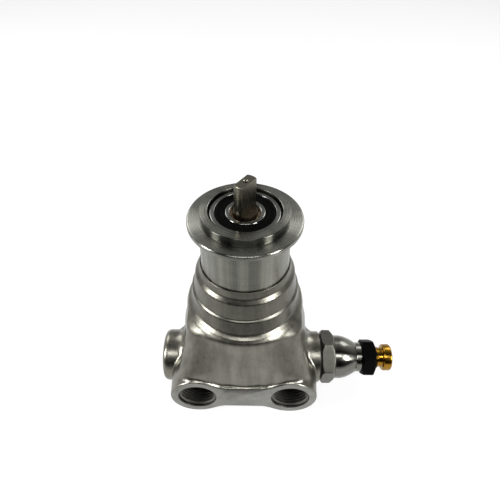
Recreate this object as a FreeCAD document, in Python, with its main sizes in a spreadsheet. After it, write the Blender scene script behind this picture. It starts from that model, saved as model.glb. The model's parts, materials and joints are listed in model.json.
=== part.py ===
import FreeCAD, Part
import Sketcher
import math
import os

# Rotary vane pump: cast body with two threaded ports, shaft and bearing on a clamp flange, relief valve.
# Millimetres. The origin is on the shaft axis at the flange's seating face, +Z out along the shaft,
# the ports face -Y and the relief valve points along +X.

SIZES = {
    # How far a cut runs past the face that it starts from
    "overshoot": 1.0,
    # Clamp flange and pilot of the mounting adapter
    "flange_radius": 28.575,
    "flange_rim": 2.5,
    "flange_edge": 1.0,
    "flange_slope": 2.2,
    "pilot_radius": 22.225,
    "pilot_height": 4.4,
    "pilot_edge": 0.5,
    "recess_radius": 18.2,
    "recess_depth": 1.8,
    "neck_radius": 23.1,
    "neck_length": 31.5,
    "spigot_radius": 20.5,
    "adapter_length": 48.0,
    # Bearing 15 x 35 x 11
    "bearing_drop": 1.3,
    "bearing_radius": 17.5,
    "bearing_bore": 7.5,
    "bearing_width": 11.0,
    "outer_shoulder": 14.7,
    "inner_shoulder": 10.3,
    "outer_seal_seat": 15.0,
    "inner_seal_seat": 9.85,
    "ball_circle": 12.5,
    "ball_radius": 2.976,
    "ball_count": 8,
    "race_clearance": 0.05,
    "bearing_seal_sheet": 0.9,
    "bearing_seal_inset": 0.3,
    "cage_wall": 2.0,
    "cage_height": 7.4,
    # Shaft, its end tang and what sits on it below the bearing
    "shaft_radius": 6.0,
    "shaft_end_gap": 1.0,
    "tang_top": 20.3,
    "tang_root": 3.8,
    "tang_thickness": 5.0,
    "tang_angle": 55.0,
    "tang_edge": 0.5,
    "centre_hole": 1.0,
    "centre_hole_depth": 2.6,
    "journal_inset": 2.0,
    "retainer_width": 1.0,
    "retainer_groove": 0.4,
    "retainer_reach": 2.6,
    "retainer_mouth": 4.6,
    "journal_tail": 1.0,
    "slinger_radius": 11.5,
    "slinger_top": 8.5,
    "slinger_width": 2.0,
    # Shaft seal
    "drip_chamber": 14.0,
    "web_top": 13.6,
    "web_thickness": 3.0,
    "web_bore": 8.0,
    "seat_recess": 12.5,
    "seat_radius": 10.7,
    "seat_bore": 7.0,
    "seat_thickness": 6.0,
    "seal_chamber": 14.5,
    "face_radius": 9.8,
    "face_thickness": 4.0,
    "seal_spring_length": 11.0,
    "seal_spring_radius": 8.1,
    "seal_wire": 0.7,
    "seal_spring_turns": 4,
    "collar_radius": 10.0,
    "collar_thickness": 5.0,
    # Pump cartridge
    "cartridge_gap": 0.05,
    "plate_thickness": 11.0,
    "ring_length": 18.0,
    "ring_bore": 15.5,
    "eccentricity": 1.3,
    "rotor_gap": 0.08,
    "vane_count": 5,
    "vane_thickness": 2.4,
    "vane_height": 5.8,
    "slot_floor_gap": 0.8,
    "slot_side_gap": 0.03,
    "end_gap": 0.05,
    "bush_wall": 2.5,
    "running_gap": 0.05,
    "kidney_width": 2.6,
    "kidney_circle": 15.1,
    "kidney_half_angle": 48.0,
    "key_width": 3.0,
    "key_height": 3.0,
    "key_length": 12.0,
    "dowel_radius": 1.25,
    "dowel_circle": 17.6,
    "dowel_in_body": 2.5,
    # Cast body
    "body_top": 28.8,
    "collar_bore": 23.5,
    "first_step_radius": 24.6,
    "first_ring_cove": 3.45,
    "first_ring_radius": 27.5,
    "first_ring_height": 38.05,
    "second_wall_radius": 28.4,
    "second_wall_low": 45.4,
    "second_ring_radius": 29.7,
    "second_ring_height": 46.4,
    "shoulder_neck_low": 51.2,
    "shoulder_radius": 33.6,
    "shoulder_height": 55.0,
    "shoulder_round": 3.0,
    "barrel_radius": 32.5,
    "barrel_taper": 62.0,
    "barrel_below_ports": 9.2,
    "foot_radius": 26.0,
    "foot_below_ports": 17.7,
    "foot_edge": 2.0,
    # Apron between the shoulder and the port face
    "apron_top": 56.0,
    "apron_half_width": 32.2,
    "apron_front": 36.0,
    "apron_flat": 15.0,
    "apron_side": 16.4,
    "apron_corner": 8.0,
    "apron_round": 3.2,
    "apron_face_step": 0.6,
    "apron_above_ports": 3.0,
    "apron_side_step": 0.5,
    # Ports
    "port_face": 40.2,
    "ports_below_cavity": 12.8,
    "port_spacing": 53.12,
    "port_boss": 15.05,
    "port_radius": 10.48,
    "port_mouth": 10.95,
    "port_thread_length": 17.0,
    "port_chamber": 8.6,
    "waist_half_height": 9.8,
    # Cross bore, side bosses and passages
    "side_axis": 11.75,
    "side_boss": 15.25,
    "left_boss_end": 48.3,
    "right_boss_end": 44.6,
    "boss_round": 3.0,
    "valve_chamber": 8.0,
    "cross_passage": 6.0,
    "riser_radius": 2.8,
    "riser_x": 13.6,
    "riser_y": 7.0,
    # Relief valve
    "valve_thread": 10.0,
    "valve_thread_depth": 15.0,
    "valve_seat_x": 4.0,
    "valve_seat_length": 5.0,
    "orifice_radius": 4.0,
    "poppet_radius": 5.2,
    "poppet_length": 22.0,
    "poppet_nose": 2.6,
    "poppet_skirt_length": 5.0,
    "poppet_stem": 3.2,
    "poppet_stem_length": 3.0,
    "gasket_thickness": 1.6,
    "gasket_radius": 13.4,
    "gasket_bore": 10.1,
    "hex_across_flats": 28.0,
    "hex_length": 7.8,
    "hex_chamfer": 2.4,
    "hex_back_edge": 1.6,
    "hex_face_inset": 0.5,
    "hex_flat_angle": 50.0,
    "dome_radius": 12.9,
    "dome_straight": 3.2,
    "dome_length": 10.3,
    "dome_curve": 15.0,
    "valve_neck": 8.8,
    "valve_neck_length": 3.3,
    "spring_room": 7.3,
    "spring_room_end": 60.0,
    "guide_flange": 3.0,
    "guide_stem": 3.2,
    "guide_stem_length": 4.0,
    "valve_spring_radius": 5.0,
    "valve_wire": 0.8,
    "valve_spring_turns": 5,
    # Adjusting screw and lock nut
    "screw_radius": 6.5,
    "screw_tip_edge": 0.8,
    "screw_start": 56.0,
    "screw_thread_end": 82.3,
    "undercut_radius": 5.9,
    "undercut_length": 1.6,
    "head_radius": 8.0,
    "head_length": 5.2,
    "head_round": 1.2,
    "driver_slot_width": 2.0,
    "driver_slot_depth": 2.2,
    "driver_slot_angle": 43.0,
    "screw_ring_groove": 1.3,
    "screw_ring_section": 1.2,
    "screw_ring_place": 65.5,
    "nut_corner": 11.5,
    "nut_length": 9.0,
    "nut_left_round": 9.6,
    "nut_left_edge": 1.1,
    "nut_cone_length": 2.0,
    "nut_cone_end": 7.4,
    "nut_gap": 0.05,
    # Packing rings
    "adapter_ring_depth": 39.0,
    "adapter_ring_section": 1.3,
    "adapter_ring_room": 0.3,
}


class Size:
    """A length that carries both its value and the sheet expression that it comes from."""

    def __init__(self, value, text):
        self.value = value
        self.text = text

    def __add__(self, other):
        return combined(self, "+", other)

    def __radd__(self, other):
        return combined(other, "+", self)

    def __sub__(self, other):
        return combined(self, "-", other)

    def __rsub__(self, other):
        return combined(other, "-", self)

    def __mul__(self, other):
        return combined(self, "*", other)

    def __rmul__(self, other):
        return combined(other, "*", self)

    def __truediv__(self, other):
        return combined(self, "/", other)

    def __rtruediv__(self, other):
        return combined(other, "/", self)

    def __neg__(self):
        return combined(0, "-", self)


def as_size(number):
    return number if isinstance(number, Size) else Size(number, repr(number))


def combined(left, sign, right):
    a = as_size(left)
    b = as_size(right)
    values = {
        "+": lambda: a.value + b.value,
        "-": lambda: a.value - b.value,
        "*": lambda: a.value * b.value,
        "/": lambda: a.value / b.value,
    }
    return Size(values[sign](), f"({a.text} {sign} {b.text})")


def function_of(name, angle):
    """Sine or cosine of an angle in degrees."""
    value = getattr(math, name)(math.radians(as_size(angle).value))
    return Size(value, f"{name}({as_size(angle).text} * 1 deg)")


class Sheet:
    """The driving dimensions, each a named cell and an attribute."""

    def __init__(self, document, sizes):
        self.cells = document.addObject("Spreadsheet::Sheet", "Sizes")
        for row, (name, value) in enumerate(sizes.items(), start=1):
            self.cells.set(f"A{row}", name)
            self.cells.set(f"B{row}", str(value))
            self.cells.setAlias(f"B{row}", name)
            setattr(self, name, Size(value, f"Sizes.{name}"))


doc = FreeCAD.newDocument("rotary_vane_pump")
s = Sheet(doc, SIZES)
doc.recompute()
sub_parts = []


def bind(thing, prop, size):
    thing.setExpression(prop, as_size(size).text)


def place(thing, x=0, y=0, z=0, along="Z", turn=0):
    """Puts a sub-part's local origin at x, y, z, with its local Z along the named direction of the pump."""
    tilt = FreeCAD.Rotation(FreeCAD.Vector(0, 1, 0), 90 if along == "X" else 0)
    spin = FreeCAD.Rotation(FreeCAD.Vector(0, 0, 1), as_size(turn).value)
    thing.Placement = FreeCAD.Placement(FreeCAD.Vector(0, 0, 0), tilt * spin)
    bind(thing, "Placement.Base.x", x)
    bind(thing, "Placement.Base.y", y)
    bind(thing, "Placement.Base.z", z)


def listed(thing, label):
    """Names a finished sub-part, which gives its file its name."""
    thing.Label = label
    sub_parts.append(thing)
    return thing


def new_body(label):
    return listed(doc.addObject("PartDesign::Body", label), label)


def sketch_on(body, role, offset=0):
    """An empty sketch on one of the body's own origin planes, moved out along that plane's normal."""
    sketch = body.newObject("Sketcher::SketchObject", f"{body.Name}_sketch")
    plane = next(f for f in body.Origin.OriginFeatures if f.Role == role)
    sketch.AttachmentSupport = [(plane, "")]
    sketch.MapMode = "FlatFace"
    bind(sketch, "AttachmentOffset.Base.z", offset)
    return sketch


def constrain(sketch, kind, *where, size):
    number = sketch.addConstraint(Sketcher.Constraint(kind, *where, as_size(size).value))
    bind(sketch, f"Constraints[{number}]", size)


def arc_edge(start, end, radius, centre_left):
    """The arc from start to end, as FreeCAD holds it: counter-clockwise about +Z."""
    chord = end - start
    away = math.sqrt(max(radius**2 - (chord.Length / 2) ** 2, 0))
    left = FreeCAD.Vector(-chord.y, chord.x, 0).normalize()
    centre = (start + end) / 2 + left * (away if centre_left else -away)
    first, last = (start, end) if centre_left else (end, start)
    begin = math.atan2(first.y - centre.y, first.x - centre.x)
    finish = math.atan2(last.y - centre.y, last.x - centre.x)
    if finish < begin:
        finish += 2 * math.pi
    circle = Part.Circle(centre, FreeCAD.Vector(0, 0, 1), radius)
    return Part.ArcOfCircle(circle, begin, finish)


def outline(sketch, points):
    """A closed outline. A corner is (x, y), or (x, y, radius) where the edge after it is an arc:
    the arc's centre is to the left of the way round if the radius is positive, else to the right."""
    first = len(sketch.Geometry)
    corners = [FreeCAD.Vector(as_size(p[0]).value, as_size(p[1]).value, 0) for p in points]
    starts = []
    ends = []
    for i, point in enumerate(points):
        after = corners[(i + 1) % len(points)]
        if len(point) == 2:
            sketch.addGeometry(Part.LineSegment(corners[i], after), False)
            starts.append(1)
            ends.append(2)
            continue
        radius = as_size(point[2]).value
        sketch.addGeometry(arc_edge(corners[i], after, abs(radius), radius > 0), False)
        starts.append(1 if radius > 0 else 2)
        ends.append(2 if radius > 0 else 1)
    for i in range(len(points)):
        j = (i + 1) % len(points)
        sketch.addConstraint(Sketcher.Constraint("Coincident", first + i, ends[i], first + j, starts[j]))
    for i, point in enumerate(points):
        constrain(sketch, "DistanceX", -1, 1, first + i, starts[i], size=point[0])
        constrain(sketch, "DistanceY", -1, 1, first + i, starts[i], size=point[1])
        if len(point) == 3:
            arc_size = as_size(point[2])
            constrain(sketch, "Radius", first + i, size=arc_size if arc_size.value > 0 else -arc_size)
    return sketch


def circle(sketch, x, y, radius):
    number = len(sketch.Geometry)
    centre = FreeCAD.Vector(as_size(x).value, as_size(y).value, 0)
    ring = Part.Circle(centre, FreeCAD.Vector(0, 0, 1), as_size(radius).value)
    sketch.addGeometry(ring, False)
    constrain(sketch, "Radius", number, size=radius)
    constrain(sketch, "DistanceX", -1, 1, number, 3, size=x)
    constrain(sketch, "DistanceY", -1, 1, number, 3, size=y)
    return sketch


def half_disc(sketch, x, y, radius):
    """Half a disc with its straight edge upright through the centre, bulging away from the body's axis."""
    centre = FreeCAD.Vector(as_size(x).value, as_size(y).value, 0)
    reach = FreeCAD.Vector(0, as_size(radius).value, 0)
    ring = Part.Circle(centre, FreeCAD.Vector(0, 0, 1), as_size(radius).value)
    sketch.addGeometry(Part.ArcOfCircle(ring, -math.pi / 2, math.pi / 2), False)
    sketch.addGeometry(Part.LineSegment(centre + reach, centre - reach), False)
    sketch.addConstraint(Sketcher.Constraint("Coincident", 0, 2, 1, 1))
    sketch.addConstraint(Sketcher.Constraint("Coincident", 0, 1, 1, 2))
    sketch.addConstraint(Sketcher.Constraint("PointOnObject", 0, 3, 1))
    sketch.addConstraint(Sketcher.Constraint("Vertical", 1))
    constrain(sketch, "Radius", 0, size=radius)
    constrain(sketch, "DistanceX", -1, 1, 0, 3, size=x)
    constrain(sketch, "DistanceY", -1, 1, 0, 3, size=y)
    return sketch


def turned_feature(body, points, kind="Revolution"):
    """Turns an outline of (radius, height) corners about the body's Z axis."""
    sketch = outline(sketch_on(body, "XZ_Plane"), points)
    feature = body.newObject(f"PartDesign::{kind}", f"{body.Name}_{kind.lower()}")
    feature.Profile = sketch
    feature.ReferenceAxis = (sketch, ["V_Axis"])
    feature.Angle = 360
    return feature


def turned(label, points, **where):
    body = new_body(label)
    turned_feature(body, points)
    place(body, **where)
    return body


def ring(label, inner, outer, height, **where):
    return turned(label, [(inner, 0), (outer, 0), (outer, height), (inner, height)], **where)


def pad(body, sketch, length, reverse=False):
    feature = body.newObject("PartDesign::Pad", f"{body.Name}_pad")
    feature.Profile = sketch
    feature.Reversed = reverse
    bind(feature, "Length", length)
    return feature


def pocket(body, sketch, length, reverse=False):
    """Cuts length deep, and stops the script if nothing came away."""
    doc.recompute()
    before = body.Shape.Volume
    feature = body.newObject("PartDesign::Pocket", f"{body.Name}_pocket")
    feature.Profile = sketch
    feature.Reversed = reverse
    bind(feature, "Length", length)
    doc.recompute()
    if not body.Shape.Volume < before:
        raise RuntimeError(f"{feature.Name} cut nothing from {body.Label}")
    return feature


def circular_edges(body, radius, centre):
    """Names of the body's edges that lie on the circle of that radius about that local centre."""
    names = []
    for number, edge in enumerate(body.Tip.Shape.Edges, start=1):
        curve = edge.Curve
        if not isinstance(curve, Part.Circle):
            continue
        same = abs(curve.Radius - as_size(radius).value) < 0.01
        if same and (curve.Center - FreeCAD.Vector(*[as_size(c).value for c in centre])).Length < 0.01:
            names.append(f"Edge{number}")
    return names


def dress(body, kind, edges, size):
    """A fillet or chamfer of the named edges."""
    base = body.Tip
    feature = body.newObject(f"PartDesign::{kind}", f"{body.Name}_{kind.lower()}")
    feature.Base = (base, edges)
    bind(feature, "Radius" if kind == "Fillet" else "Size", size)
    doc.recompute()
    return feature


def repeated(body, feature, count):
    """Repeats a feature evenly about the body's Z axis."""
    pattern = body.newObject("PartDesign::PolarPattern", f"{body.Name}_pattern")
    pattern.Originals = [feature]
    axis = next(f for f in body.Origin.OriginFeatures if f.Role == "Z_Axis")
    pattern.Axis = (axis, [""])
    pattern.Angle = 360
    bind(pattern, "Occurrences", count)
    body.Tip = pattern
    return pattern


# Where things lie along the shaft, as depths below the flange face
bearing_top = s.pilot_height - s.bearing_drop
bearing_floor = bearing_top - s.bearing_width
seat_top = -(s.web_top + s.web_thickness)
face_top = seat_top - s.seat_thickness
spring_top = face_top - s.face_thickness
collar_top = spring_top - s.seal_spring_length
front_plate_top = -s.adapter_length
front_plate_floor = front_plate_top - s.plate_thickness
ring_floor = front_plate_floor - s.ring_length
rear_plate_floor = ring_floor - s.plate_thickness
cavity_depth = -rear_plate_floor
port_height = cavity_depth + s.ports_below_cavity
foot_height = port_height + s.foot_below_ports
cavity_radius = s.spigot_radius + s.cartridge_gap
rotor_radius = s.ring_bore - s.eccentricity - s.rotor_gap
slot_floor = rotor_radius - s.vane_height - s.slot_floor_gap
rotor_length = s.ring_length - 2 * s.end_gap
key_floor = s.shaft_radius - s.key_height / 2
port_x = s.port_spacing / 2

# Where things lie along the relief valve
hex_start = s.right_boss_end + s.gasket_thickness
dome_start = hex_start + s.hex_length
dome_bend = dome_start + s.dome_straight
neck_start = dome_bend + s.dome_length
neck_end = neck_start + s.valve_neck_length
poppet_start = s.valve_seat_x + s.valve_seat_length
guide_start = s.screw_start - s.guide_flange


def cast_body():
    """The casting: stepped collar, barrel, apron, port bosses and side bosses, then its machined bores."""
    body = new_body("pump_body")
    turned_feature(
        body,
        [
            (0, -s.body_top),
            (s.first_step_radius, -s.body_top),
            (s.first_step_radius, s.first_ring_cove - s.first_ring_height, s.first_ring_cove),
            (s.first_ring_radius, -s.first_ring_height),
            (s.second_wall_radius, -s.second_wall_low),
            (s.second_ring_radius, -s.second_ring_height),
            (s.second_ring_radius, -s.shoulder_neck_low),
            (s.shoulder_radius, -s.shoulder_height),
            (s.shoulder_radius, -(s.shoulder_height + s.shoulder_round)),
            (s.barrel_radius, -s.barrel_taper),
            (s.barrel_radius, -(port_height + s.barrel_below_ports)),
            (s.foot_radius, -(foot_height - s.foot_edge)),
            (s.foot_radius, -foot_height),
            (0, -foot_height),
        ],
    )
    apron_loft(body)
    bosses = sketch_on(body, "XZ_Plane", s.side_axis)
    circle(bosses, port_x, -port_height, s.port_boss)
    circle(bosses, -port_x, -port_height, s.port_boss)
    pad(body, bosses, s.port_face - s.side_axis)
    waist = sketch_on(body, "XZ_Plane", s.side_axis)
    waist_low = -(port_height + s.waist_half_height)
    waist_high = -(port_height - s.waist_half_height)
    outline(waist, [(-port_x, waist_low), (port_x, waist_low), (port_x, waist_high), (-port_x, waist_high)])
    pad(body, waist, s.port_face - s.side_axis)
    side = sketch_on(body, "YZ_Plane", -s.left_boss_end)
    circle(side, -s.side_axis, -port_height, s.side_boss)
    pad(body, side, s.left_boss_end + s.right_boss_end)
    doc.recompute()
    axis_point = (-s.left_boss_end, -s.side_axis, -port_height)
    dress(body, "Fillet", circular_edges(body, s.side_boss, axis_point), s.boss_round)
    machined_bores(body)
    return body


def apron_section(body, depth, half_width, front, flat, side, corner):
    """One level of the apron: flat front, round corners and straight sides back to the barrel."""
    sketch = sketch_on(body, "XY_Plane", -depth)
    return outline(
        sketch,
        [
            (-half_width, 0),
            (-half_width, -side, corner),
            (-flat, -front),
            (flat, -front, corner),
            (half_width, -side),
            (half_width, 0),
        ],
    )


def apron_loft(body):
    """The wall that runs from the shoulder down to the port face, wider and flatter as it goes."""
    ledge_half = s.apron_half_width - s.apron_round
    ledge_front = s.apron_front - s.apron_round
    ledge_depth = s.apron_top - s.apron_round
    ledge = apron_section(body, ledge_depth, ledge_half, ledge_front, s.apron_flat, s.apron_side, ledge_front)
    half = s.apron_half_width
    shoulder = apron_section(body, s.apron_top, half, s.apron_front, s.apron_flat, s.apron_side, s.apron_front)
    low_front = s.port_face - s.apron_face_step
    low_half = port_x + s.port_boss - s.apron_side_step
    low_side = low_front - s.apron_corner
    low_flat = low_half - s.apron_corner
    low_depth = port_height - s.apron_above_ports
    lower = apron_section(body, low_depth, low_half, low_front, low_flat, low_side, s.apron_corner)
    loft = body.newObject("PartDesign::AdditiveLoft", "pump_body_apron")
    loft.Profile = ledge
    loft.Sections = [shoulder, lower]
    loft.Ruled = True
    doc.recompute()
    return loft


def machined_bores(body):
    """Everything that a tool cuts into the casting."""
    turned_feature(
        body,
        [
            (0, s.overshoot - s.body_top),
            (s.collar_bore, s.overshoot - s.body_top),
            (s.collar_bore, -s.neck_length),
            (cavity_radius, -s.neck_length),
            (cavity_radius, -cavity_depth),
            (0, -cavity_depth),
        ],
        kind="Groove",
    )
    for side in (-1, 1):
        thread = sketch_on(body, "XZ_Plane", s.port_face)
        circle(thread, side * port_x, -port_height, s.port_radius)
        pocket(body, thread, s.port_thread_length)
        chamber = sketch_on(body, "XZ_Plane", s.port_face)
        circle(chamber, side * port_x, -port_height, s.port_chamber)
        pocket(body, chamber, s.port_face - s.side_axis)
        mouth = (side * port_x, -s.port_face, -port_height)
        dress(body, "Chamfer", circular_edges(body, s.port_radius, mouth), s.port_mouth - s.port_radius)
        riser = sketch_on(body, "XY_Plane", -cavity_depth)
        circle(riser, side * s.riser_x, -s.riser_y, s.riser_radius)
        pocket(body, riser, port_height - cavity_depth)
    valve_mouth = sketch_on(body, "YZ_Plane", s.right_boss_end)
    circle(valve_mouth, -s.side_axis, -port_height, s.valve_thread)
    pocket(body, valve_mouth, s.valve_thread_depth)
    valve_room = sketch_on(body, "YZ_Plane", s.right_boss_end)
    circle(valve_room, -s.side_axis, -port_height, s.valve_chamber)
    pocket(body, valve_room, s.right_boss_end - s.valve_seat_x)
    crossing = sketch_on(body, "YZ_Plane", s.valve_seat_x)
    circle(crossing, -s.side_axis, -port_height, s.cross_passage)
    pocket(body, crossing, s.valve_seat_x + port_x)
    dowel = sketch_on(body, "XY_Plane", -cavity_depth)
    circle(dowel, 0, s.dowel_circle, s.dowel_radius)
    pocket(body, dowel, s.dowel_in_body)


def mounting_adapter():
    """The turned flange that carries the bearing and the shaft seal and plugs the body's bore."""
    under_flange = s.flange_rim + s.flange_slope
    ring_half = s.adapter_ring_section + s.adapter_ring_room
    groove_floor = cavity_radius - 2 * s.adapter_ring_section
    return turned(
        "mounting_adapter",
        [
            (s.web_bore, -s.web_top),
            (s.drip_chamber, -s.web_top),
            (s.drip_chamber, bearing_floor),
            (s.bearing_radius, bearing_floor),
            (s.bearing_radius, s.pilot_height - s.recess_depth),
            (s.recess_radius, s.pilot_height - s.recess_depth),
            (s.recess_radius, s.pilot_height),
            (s.pilot_radius - s.pilot_edge, s.pilot_height),
            (s.pilot_radius, s.pilot_height - s.pilot_edge),
            (s.pilot_radius, 0),
            (s.flange_radius - s.flange_edge, 0),
            (s.flange_radius, -s.flange_edge),
            (s.flange_radius, -s.flange_rim),
            (s.neck_radius, -under_flange),
            (s.neck_radius, -s.neck_length),
            (s.spigot_radius, -s.neck_length),
            (s.spigot_radius, -(s.adapter_ring_depth - ring_half)),
            (groove_floor, -(s.adapter_ring_depth - ring_half)),
            (groove_floor, -(s.adapter_ring_depth + ring_half)),
            (s.spigot_radius, -(s.adapter_ring_depth + ring_half)),
            (s.spigot_radius, front_plate_top),
            (s.seal_chamber, front_plate_top),
            (s.seal_chamber, face_top),
            (s.seat_recess, face_top),
            (s.seat_recess, seat_top),
            (s.web_bore, seat_top),
        ],
    )


def packing_ring(label, inner, outer, **where):
    """A round rubber ring that fills the space between two radii."""
    torus = listed(doc.addObject("Part::Torus", label), label)
    bind(torus, "Radius1", (inner + outer) / 2)
    bind(torus, "Radius2", (outer - inner) / 2)
    place(torus, **where)
    return torus


def race_groove(body):
    """The ball track of a bearing ring, cut on the middle of its width."""
    groove = s.ball_radius + s.race_clearance
    sketch = circle(sketch_on(body, "XZ_Plane"), s.ball_circle, s.bearing_width / 2, groove)
    feature = body.newObject("PartDesign::Groove", f"{body.Name}_track")
    feature.Profile = sketch
    feature.ReferenceAxis = (sketch, ["V_Axis"])
    feature.Angle = 360
    doc.recompute()


def bearing():
    """A sealed deep-groove ball bearing: two rings, balls, cage and two rubber seals."""
    seat_depth = s.bearing_seal_inset + s.bearing_seal_sheet
    seat_above = s.bearing_width - seat_depth
    outer = turned(
        "bearing_outer_ring",
        [
            (s.outer_seal_seat, 0),
            (s.bearing_radius, 0),
            (s.bearing_radius, s.bearing_width),
            (s.outer_seal_seat, s.bearing_width),
            (s.outer_seal_seat, seat_above),
            (s.outer_shoulder, seat_above),
            (s.outer_shoulder, seat_depth),
            (s.outer_seal_seat, seat_depth),
        ],
        z=bearing_floor,
    )
    inner = turned(
        "bearing_inner_ring",
        [
            (s.bearing_bore, 0),
            (s.inner_seal_seat, 0),
            (s.inner_seal_seat, seat_depth + s.race_clearance),
            (s.inner_shoulder, seat_depth + s.race_clearance),
            (s.inner_shoulder, seat_above - s.race_clearance),
            (s.inner_seal_seat, seat_above - s.race_clearance),
            (s.inner_seal_seat, s.bearing_width),
            (s.bearing_bore, s.bearing_width),
        ],
        z=bearing_floor,
    )
    race_groove(outer)
    race_groove(inner)
    lip = s.inner_seal_seat + s.race_clearance
    upper_z = bearing_top - seat_depth
    ring("bearing_seal_upper", lip, s.outer_seal_seat, s.bearing_seal_sheet, z=upper_z)
    lower_z = bearing_floor + s.bearing_seal_inset
    ring("bearing_seal_lower", lip, s.outer_seal_seat, s.bearing_seal_sheet, z=lower_z)
    bearing_balls()
    bearing_cage()


def bearing_balls():
    """The balls, one node of separate solids, set out by a polar pattern of one sphere."""
    body = new_body("bearing_balls")
    doc.recompute()
    sketch = half_disc(sketch_on(body, "XZ_Plane"), s.ball_circle, s.bearing_width / 2, s.ball_radius)
    ball = body.newObject("PartDesign::Revolution", "bearing_balls_ball")
    ball.Profile = sketch
    ball.ReferenceAxis = (sketch, ["Edge2"])
    ball.Angle = 360
    doc.recompute()
    body.AllowCompound = True
    repeated(body, ball, s.ball_count)
    place(body, z=bearing_floor)
    return body


def bearing_cage():
    """A ring with a round pocket for each ball."""
    body = new_body("bearing_cage")
    low = (s.bearing_width - s.cage_height) / 2
    high = (s.bearing_width + s.cage_height) / 2
    inner = s.ball_circle - s.cage_wall / 2
    outer = s.ball_circle + s.cage_wall / 2
    turned_feature(body, [(inner, low), (outer, low), (outer, high), (inner, high)])
    pocket_radius = s.ball_radius + s.race_clearance
    sketch = half_disc(sketch_on(body, "XZ_Plane"), s.ball_circle, s.bearing_width / 2, pocket_radius)
    pocket_cut = body.newObject("PartDesign::Groove", "bearing_cage_ball_pocket")
    pocket_cut.Profile = sketch
    pocket_cut.ReferenceAxis = (sketch, ["Edge2"])
    pocket_cut.Angle = 360
    doc.recompute()
    repeated(body, pocket_cut, s.ball_count)
    place(body, z=bearing_floor)
    return body


def drive_shaft():
    """The shaft: flat driving tang, bearing journal with retainer groove, long plain tail."""
    body = new_body("drive_shaft")
    groove_top = bearing_floor
    groove_low = bearing_floor - s.retainer_width
    journal_low = groove_low - s.journal_tail
    tail = rear_plate_floor + s.shaft_end_gap
    turned_feature(
        body,
        [
            (0, tail),
            (s.shaft_radius - s.tang_edge, tail),
            (s.shaft_radius, tail + s.tang_edge),
            (s.shaft_radius, journal_low),
            (s.bearing_bore, journal_low),
            (s.bearing_bore, groove_low),
            (s.bearing_bore - s.retainer_groove, groove_low),
            (s.bearing_bore - s.retainer_groove, groove_top),
            (s.bearing_bore, groove_top),
            (s.bearing_bore, bearing_top - s.journal_inset),
            (s.shaft_radius, bearing_top - s.journal_inset),
            (s.shaft_radius, s.tang_top - s.tang_edge),
            (s.shaft_radius - s.tang_edge, s.tang_top),
            (s.centre_hole, s.tang_top),
            (0, s.tang_top - s.centre_hole_depth),
        ],
    )
    doc.recompute()
    flats = sketch_on(body, "XY_Plane", s.tang_top)
    reach = s.shaft_radius + s.overshoot
    half = s.tang_thickness / 2
    for side in (-1, 1):
        near = side * half
        far = side * reach
        corners = [(-reach, near), (reach, near), (reach, far), (-reach, far)]
        outline(flats, corners if side > 0 else corners[::-1])
    pocket(body, flats, s.tang_top - s.tang_root)
    keyway = sketch_on(body, "YZ_Plane", reach)
    middle = (ring_floor + front_plate_floor) / 2
    low = middle - s.key_length / 2
    high = middle + s.key_length / 2
    side = s.key_width / 2
    outline(keyway, [(-side, low), (side, low), (side, high), (-side, high)])
    pocket(body, keyway, reach - key_floor)
    place(body, turn=s.tang_angle)
    return body


def open_ring(label, inner, outer, height, mouth, **where):
    """A flat ring with a gap on one side, as a spring clip has."""
    body = ring(label, inner, outer, height, **where)
    gap = sketch_on(body, "XY_Plane")
    far = outer + s.overshoot
    outline(gap, [(0, -mouth / 2), (far, -mouth / 2), (far, mouth / 2), (0, mouth / 2)])
    pocket(body, gap, height, reverse=True)
    return body


def coil(label, radius, wire, length, turns, **where):
    """A round-wire spring between two flat ends, its own length long."""
    spring = listed(doc.addObject("Part::Sweep", label), label)
    path = doc.addObject("Part::Helix", f"{label}_path")
    travel = length - 2 * wire
    bind(path, "Radius", radius)
    bind(path, "Pitch", travel / turns)
    bind(path, "Height", travel)
    section = doc.addObject("Part::Circle", f"{label}_wire")
    bind(section, "Radius", wire)
    section.Placement = FreeCAD.Placement(FreeCAD.Vector(), FreeCAD.Rotation(FreeCAD.Vector(1, 0, 0), 90))
    bind(section, "Placement.Base.x", radius)
    spring.Sections = [section]
    spring.Spine = (path, ["Edge1"])
    spring.Solid = True
    spring.Frenet = True
    place(spring, **where)
    return spring


def shaft_furniture():
    """What turns with the shaft below the bearing: clip, slinger and the seal's moving half."""
    clip_inner = s.bearing_bore - s.retainer_groove
    clip_outer = clip_inner + s.retainer_reach
    clip_z = bearing_floor - s.retainer_width
    open_ring("shaft_retaining_ring", clip_inner, clip_outer, s.retainer_width, s.retainer_mouth, z=clip_z)
    slinger_z = clip_z - s.journal_tail - s.slinger_width
    turned(
        "slinger",
        [
            (s.shaft_radius, 0),
            (s.slinger_radius, 0),
            (s.slinger_radius, s.slinger_width / 2),
            (s.slinger_top, s.slinger_width),
            (s.shaft_radius, s.slinger_width),
        ],
        z=slinger_z,
    )
    ring("seal_face", s.shaft_radius, s.face_radius, s.face_thickness, z=spring_top)
    coil(
        "seal_spring",
        s.seal_spring_radius,
        s.seal_wire,
        s.seal_spring_length,
        s.seal_spring_turns,
        z=collar_top + s.seal_wire,
    )
    collar_z = collar_top - s.collar_thickness
    ring("seal_drive_collar", s.shaft_radius, s.collar_radius, s.collar_thickness, z=collar_z)


def shaft_seal_seat():
    """The fixed half of the shaft seal, in the adapter."""
    ring("seal_seat", s.seat_bore, s.seat_radius, s.seat_thickness, z=face_top)
    packing_ring("seal_seat_o_ring", s.seat_radius, s.seat_recess, z=face_top + s.seat_thickness / 2)
    ring_inner = cavity_radius - 2 * s.adapter_ring_section
    packing_ring("adapter_o_ring", ring_inner, cavity_radius, z=-s.adapter_ring_depth)


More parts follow.
